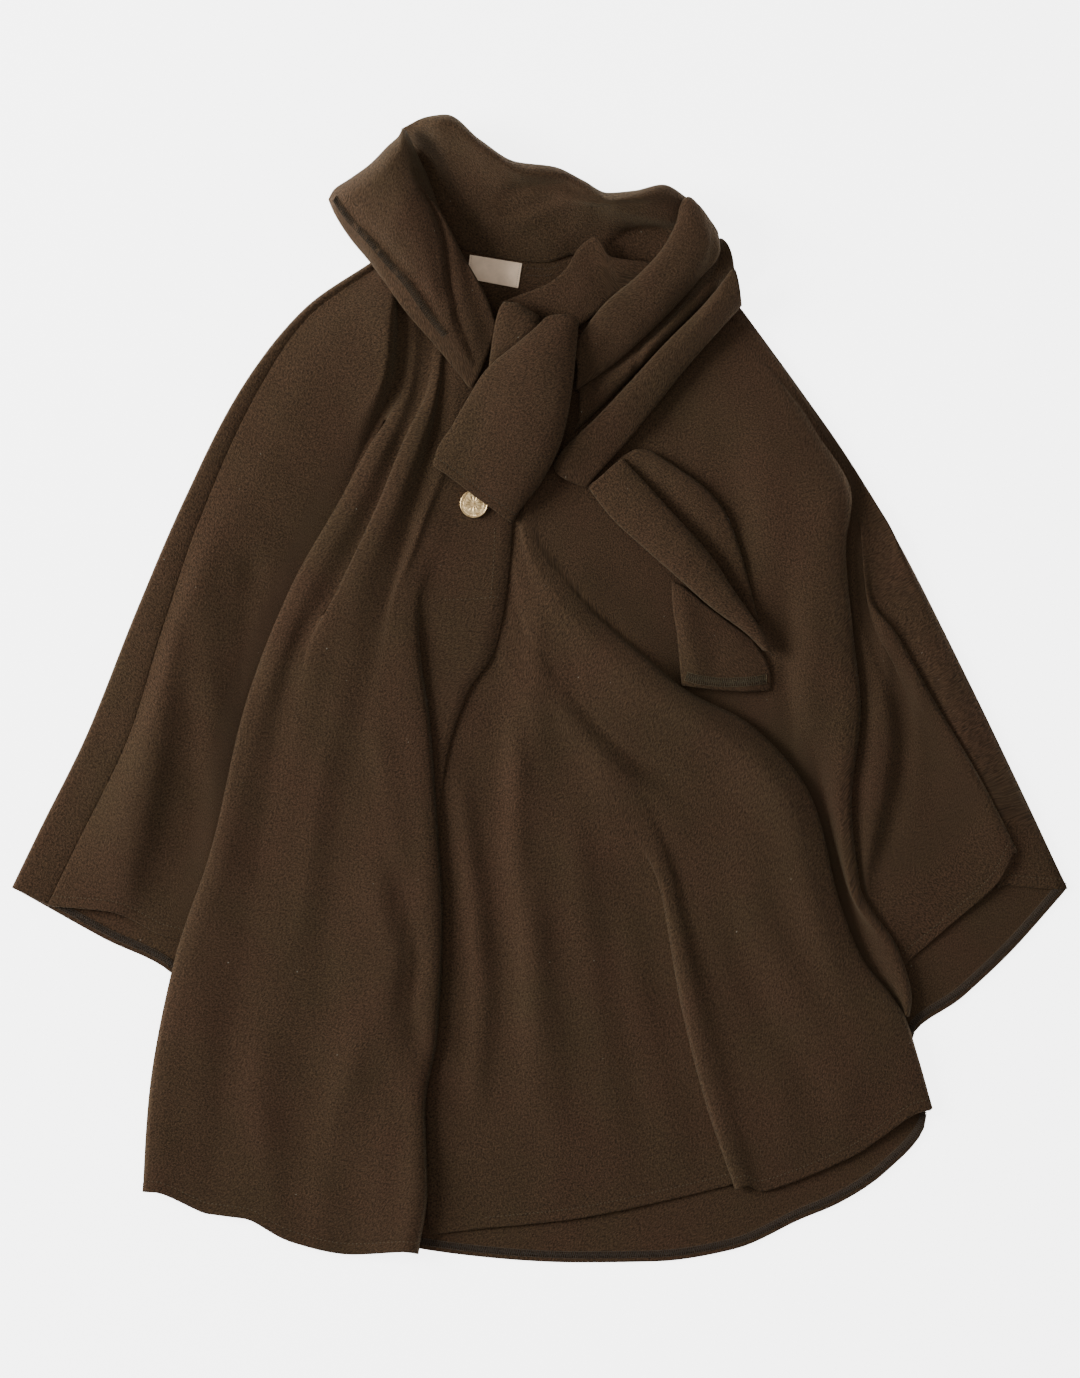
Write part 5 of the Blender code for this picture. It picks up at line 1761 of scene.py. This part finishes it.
@dataclass
class NeckLabel(SubAssembly):
    """Blank woven label, sewn to the inside of the back under the neck seam."""

    columns: int = 64
    rows: int = 34
    step: float = 1.2
    foot: float = 2.0
    wall: float = 0.5
    bow: float = 0.5
    buckle: float = 0.5
    buckle_waves: float = 2.5
    buckle_phase: float = 0.6
    dip: float = 0.25
    dip_width: float = 0.02
    dip_places: Span = (0.035, 0.965)
    sewn_in: float = 2.0
    stitch: RunningStitch = RunningStitch(2.0, 1.5, 0.2, 0.0)
    thread: SewingThread = SewingThread("label_thread", (0.30, 0.25, 0.19, 1.0), (0.55, 0.48, 0.38, 1.0))

    def build(self) -> None:
        """Bend a rectangle of ribbon between the four corners and sew both of its ends.

        The height is the foot, plus a low bow from the upper edge to the lower one that buckles in slow
        waves across the label, less a dip at the two rows of sewing.
        """
        u = np.linspace(0.0, 1.0, self.columns)[None, :, None]
        v = np.linspace(0.0, 1.0, self.rows)[:, None, None]
        corner = np.array(LABEL_CORNERS, dtype=float)
        top = (1.0 - u) * corner[0] + u * corner[1]
        bottom = (1.0 - u) * corner[3] + u * corner[2]
        plan = (1.0 - v) * top + v * bottom
        across, along = u[..., 0], v[..., 0]
        waves = np.sin(2.0 * self.buckle_waves * math.pi * across + self.buckle_phase)
        rise = self.bow * np.sin(math.pi * along) * (1.0 + self.buckle * waves)
        ends = sum(bell(across, self.dip, place, self.dip_width) for place in self.dip_places)
        height = self.foot + rise - ends
        grid = np.concatenate((plan, height[..., None]), axis=-1)
        lines = [grid[:, index] for index in range(self.columns)]
        sheet = Sheet(lines, self.step, wall=self.wall, ground=Wander(), floor=0.0)
        ribbon = self.place(sheet.add("neck_label_ribbon", LabelWeave()), Slot.LABEL, "label")
        parts = [self.stitch.build(*sheet.whole_row(edge, self.sewn_in)) for edge in (Edge.FIRST, Edge.LAST)]
        sewing = self.sew("neck_label_sewing", parts, self.thread, Slot.LABEL)


@dataclass
class CoinButton(SubAssembly):
    """Coin-style button: beaded rim, ring and a plain rayed rosette, on a flat back.

    Each form of the relief is a bell of the radius: its height, its place and its width, both as shares
    of the button's radius. The side's columns are the share of the radius and the height.
    """

    centre: Span = (474.0, 504.0)
    radius: float = 14.0
    foot: float = 7.4
    height: float = 2.6
    rim: tuple[float, ...] = (0.6, 0.95, 0.045)
    bead_ring: tuple[float, ...] = (0.35, 0.83, 0.05)
    ring: tuple[float, ...] = (0.25, 0.72, 0.025)
    rosette: tuple[float, ...] = (0.45, 0.42, 0.2)
    boss: tuple[float, ...] = (0.5, 0.0, 0.13)
    beads: int = 56
    petals: int = 12
    petal_power: float = 0.7
    face: Span = (0.02, 0.985)
    side: Rows = ((1.0, 2.6), (1.0, 0.8), (0.97, 0.0), (0.9, 0.0), (0.02, 0.0))
    rings: int = 60
    sectors: int = 336

    def relief(self, share: np.ndarray, turn: np.ndarray) -> np.ndarray:
        """Give the face's height: rim, beads, ring, rosette and boss.

        The beads and the rosette's petals are their bells times half a cosine of the angle.
        """
        beads = bell(share, *self.bead_ring) * (0.5 + 0.5 * np.cos(self.beads * turn))
        petals = bell(share, *self.rosette) * (0.5 + 0.5 * np.cos(self.petals * turn)) ** self.petal_power
        return bell(share, *self.rim) + beads + bell(share, *self.ring) + petals + bell(share, *self.boss)

    def build(self) -> None:
        """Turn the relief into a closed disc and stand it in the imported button's place."""
        side = np.array(self.side)
        share = np.concatenate((np.linspace(*self.face, self.rings), side[:, 0]))[:, None]
        turn = np.linspace(0.0, 2.0 * math.pi, self.sectors, endpoint=False)[None, :]
        height = self.height + self.relief(share, turn)
        height[self.rings:] = side[:, 1:]
        x = self.centre[0] + self.radius * share * np.cos(turn)
        y = self.centre[1] - self.radius * share * np.sin(turn)
        foot = self.foot + float(SMOOTHED_BY_HAND.rise(np.array((*self.centre, 0.0))))
        tips = np.array(((*self.centre, foot + float(height[0].mean())), (*self.centre, foot)))
        points = np.vstack((to_row(np.stack((x, y, foot + height), axis=-1)).reshape(-1, 3), to_row(tips)))
        top, bottom = len(points) - 2, len(points) - 1
        first = np.arange(self.sectors)
        last = first + (len(share) - 1) * self.sectors
        caps = np.vstack((
            np.column_stack((first, np.roll(first, -1), np.full(self.sectors, top))),
            np.column_stack((np.roll(last, -1), last, np.full(self.sectors, bottom))),
        ))
        faces = tube_walls(1, len(share), self.sectors).tolist() + caps.tolist()
        self.place(add_mesh("coin_button", points * MM, faces, PaleGold()), Slot.BUTTON, "button")


@dataclass
class Studio:
    """Pale floor, soft light from the left and above, and a camera straight above the coat.

    The lights' columns are name, place, width of the soft box and power.
    """

    lens: float = 250.0
    sensor: float = 36.0
    floor_size: float = 9.0
    floor_z: float = -0.0006
    lights: tuple[tuple, ...] = (
        ("key_light", (-3.9, 0.87, 1.9), 2.1, 372.0),
        ("fill_light", (2.4, -0.8, 2.2), 2.4, 9.0),
        ("top_light", (-0.3, 0.6, 3.4), 2.4, 23.0),
    )
    world_strength: float = 0.315

    def build(self) -> None:
        """Build the floor, the lights and the camera."""
        half = 0.5 * self.floor_size
        signs = ((-1.0, -1.0), (1.0, -1.0), (1.0, 1.0), (-1.0, 1.0))
        corner = np.array([(x * half, y * half, self.floor_z) for x, y in signs])
        floor = add_mesh("studio_floor", corner, [(0, 1, 2, 3)], StudioPaper())
        for row in self.lights:
            self.light(*row)
        world = bpy.context.scene.world or bpy.data.worlds.new("studio_world")
        bpy.context.scene.world = world
        world.use_nodes = True
        sky = world.node_tree.nodes["Background"]
        sky.inputs["Color"].default_value = (1.0, 1.0, 1.0, 1.0)
        sky.inputs["Strength"].default_value = self.world_strength
        self.camera()

    def light(self, name: str, place: tuple[float, ...], width: float, power: float) -> None:
        """Add a square soft box that looks at the middle of the coat."""
        data = bpy.data.lights.new(name, "AREA")
        data.shape = "SQUARE"
        data.size = width
        data.energy = power
        item = bpy.data.objects.new(name, data)
        item.location = place
        towards = np.array(place) / -np.linalg.norm(place)
        turn = math.atan2(towards[1], towards[0]) - math.pi / 2.0
        item.rotation_euler = (math.acos(-towards[2]), 0.0, turn)
        item.visible_camera = False
        bpy.context.scene.collection.objects.link(item)

    def camera(self) -> None:
        """Put a long lens above the middle of the photograph's frame: its long side is the sensor's."""
        data = bpy.data.cameras.new("photo_camera")
        data.lens, data.sensor_width = self.lens, self.sensor
        distance = PHOTO_SIZE[1] * MM * self.lens / self.sensor
        data.clip_end = 4.0 * distance
        item = bpy.data.objects.new("photo_camera", data)
        x = 0.5 * PHOTO_SIZE[0] - PLAN_CENTRE[0]
        y = PLAN_CENTRE[1] - 0.5 * PHOTO_SIZE[1]
        item.location = (x * MM, y * MM, distance)
        bpy.context.scene.collection.objects.link(item)
        bpy.context.scene.camera = item


def main() -> None:
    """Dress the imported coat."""
    logging.basicConfig(level=logging.INFO, format="%(name)s %(message)s")
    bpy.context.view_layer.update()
    Studio().build()
    back = BackPanel()
    back.build()
    LeftFront().build()
    RightFront().build(back)
    ScarfCollar().build()
    NeckLabel().build()
    CoinButton().build()


if __name__ == "__main__":
    main()
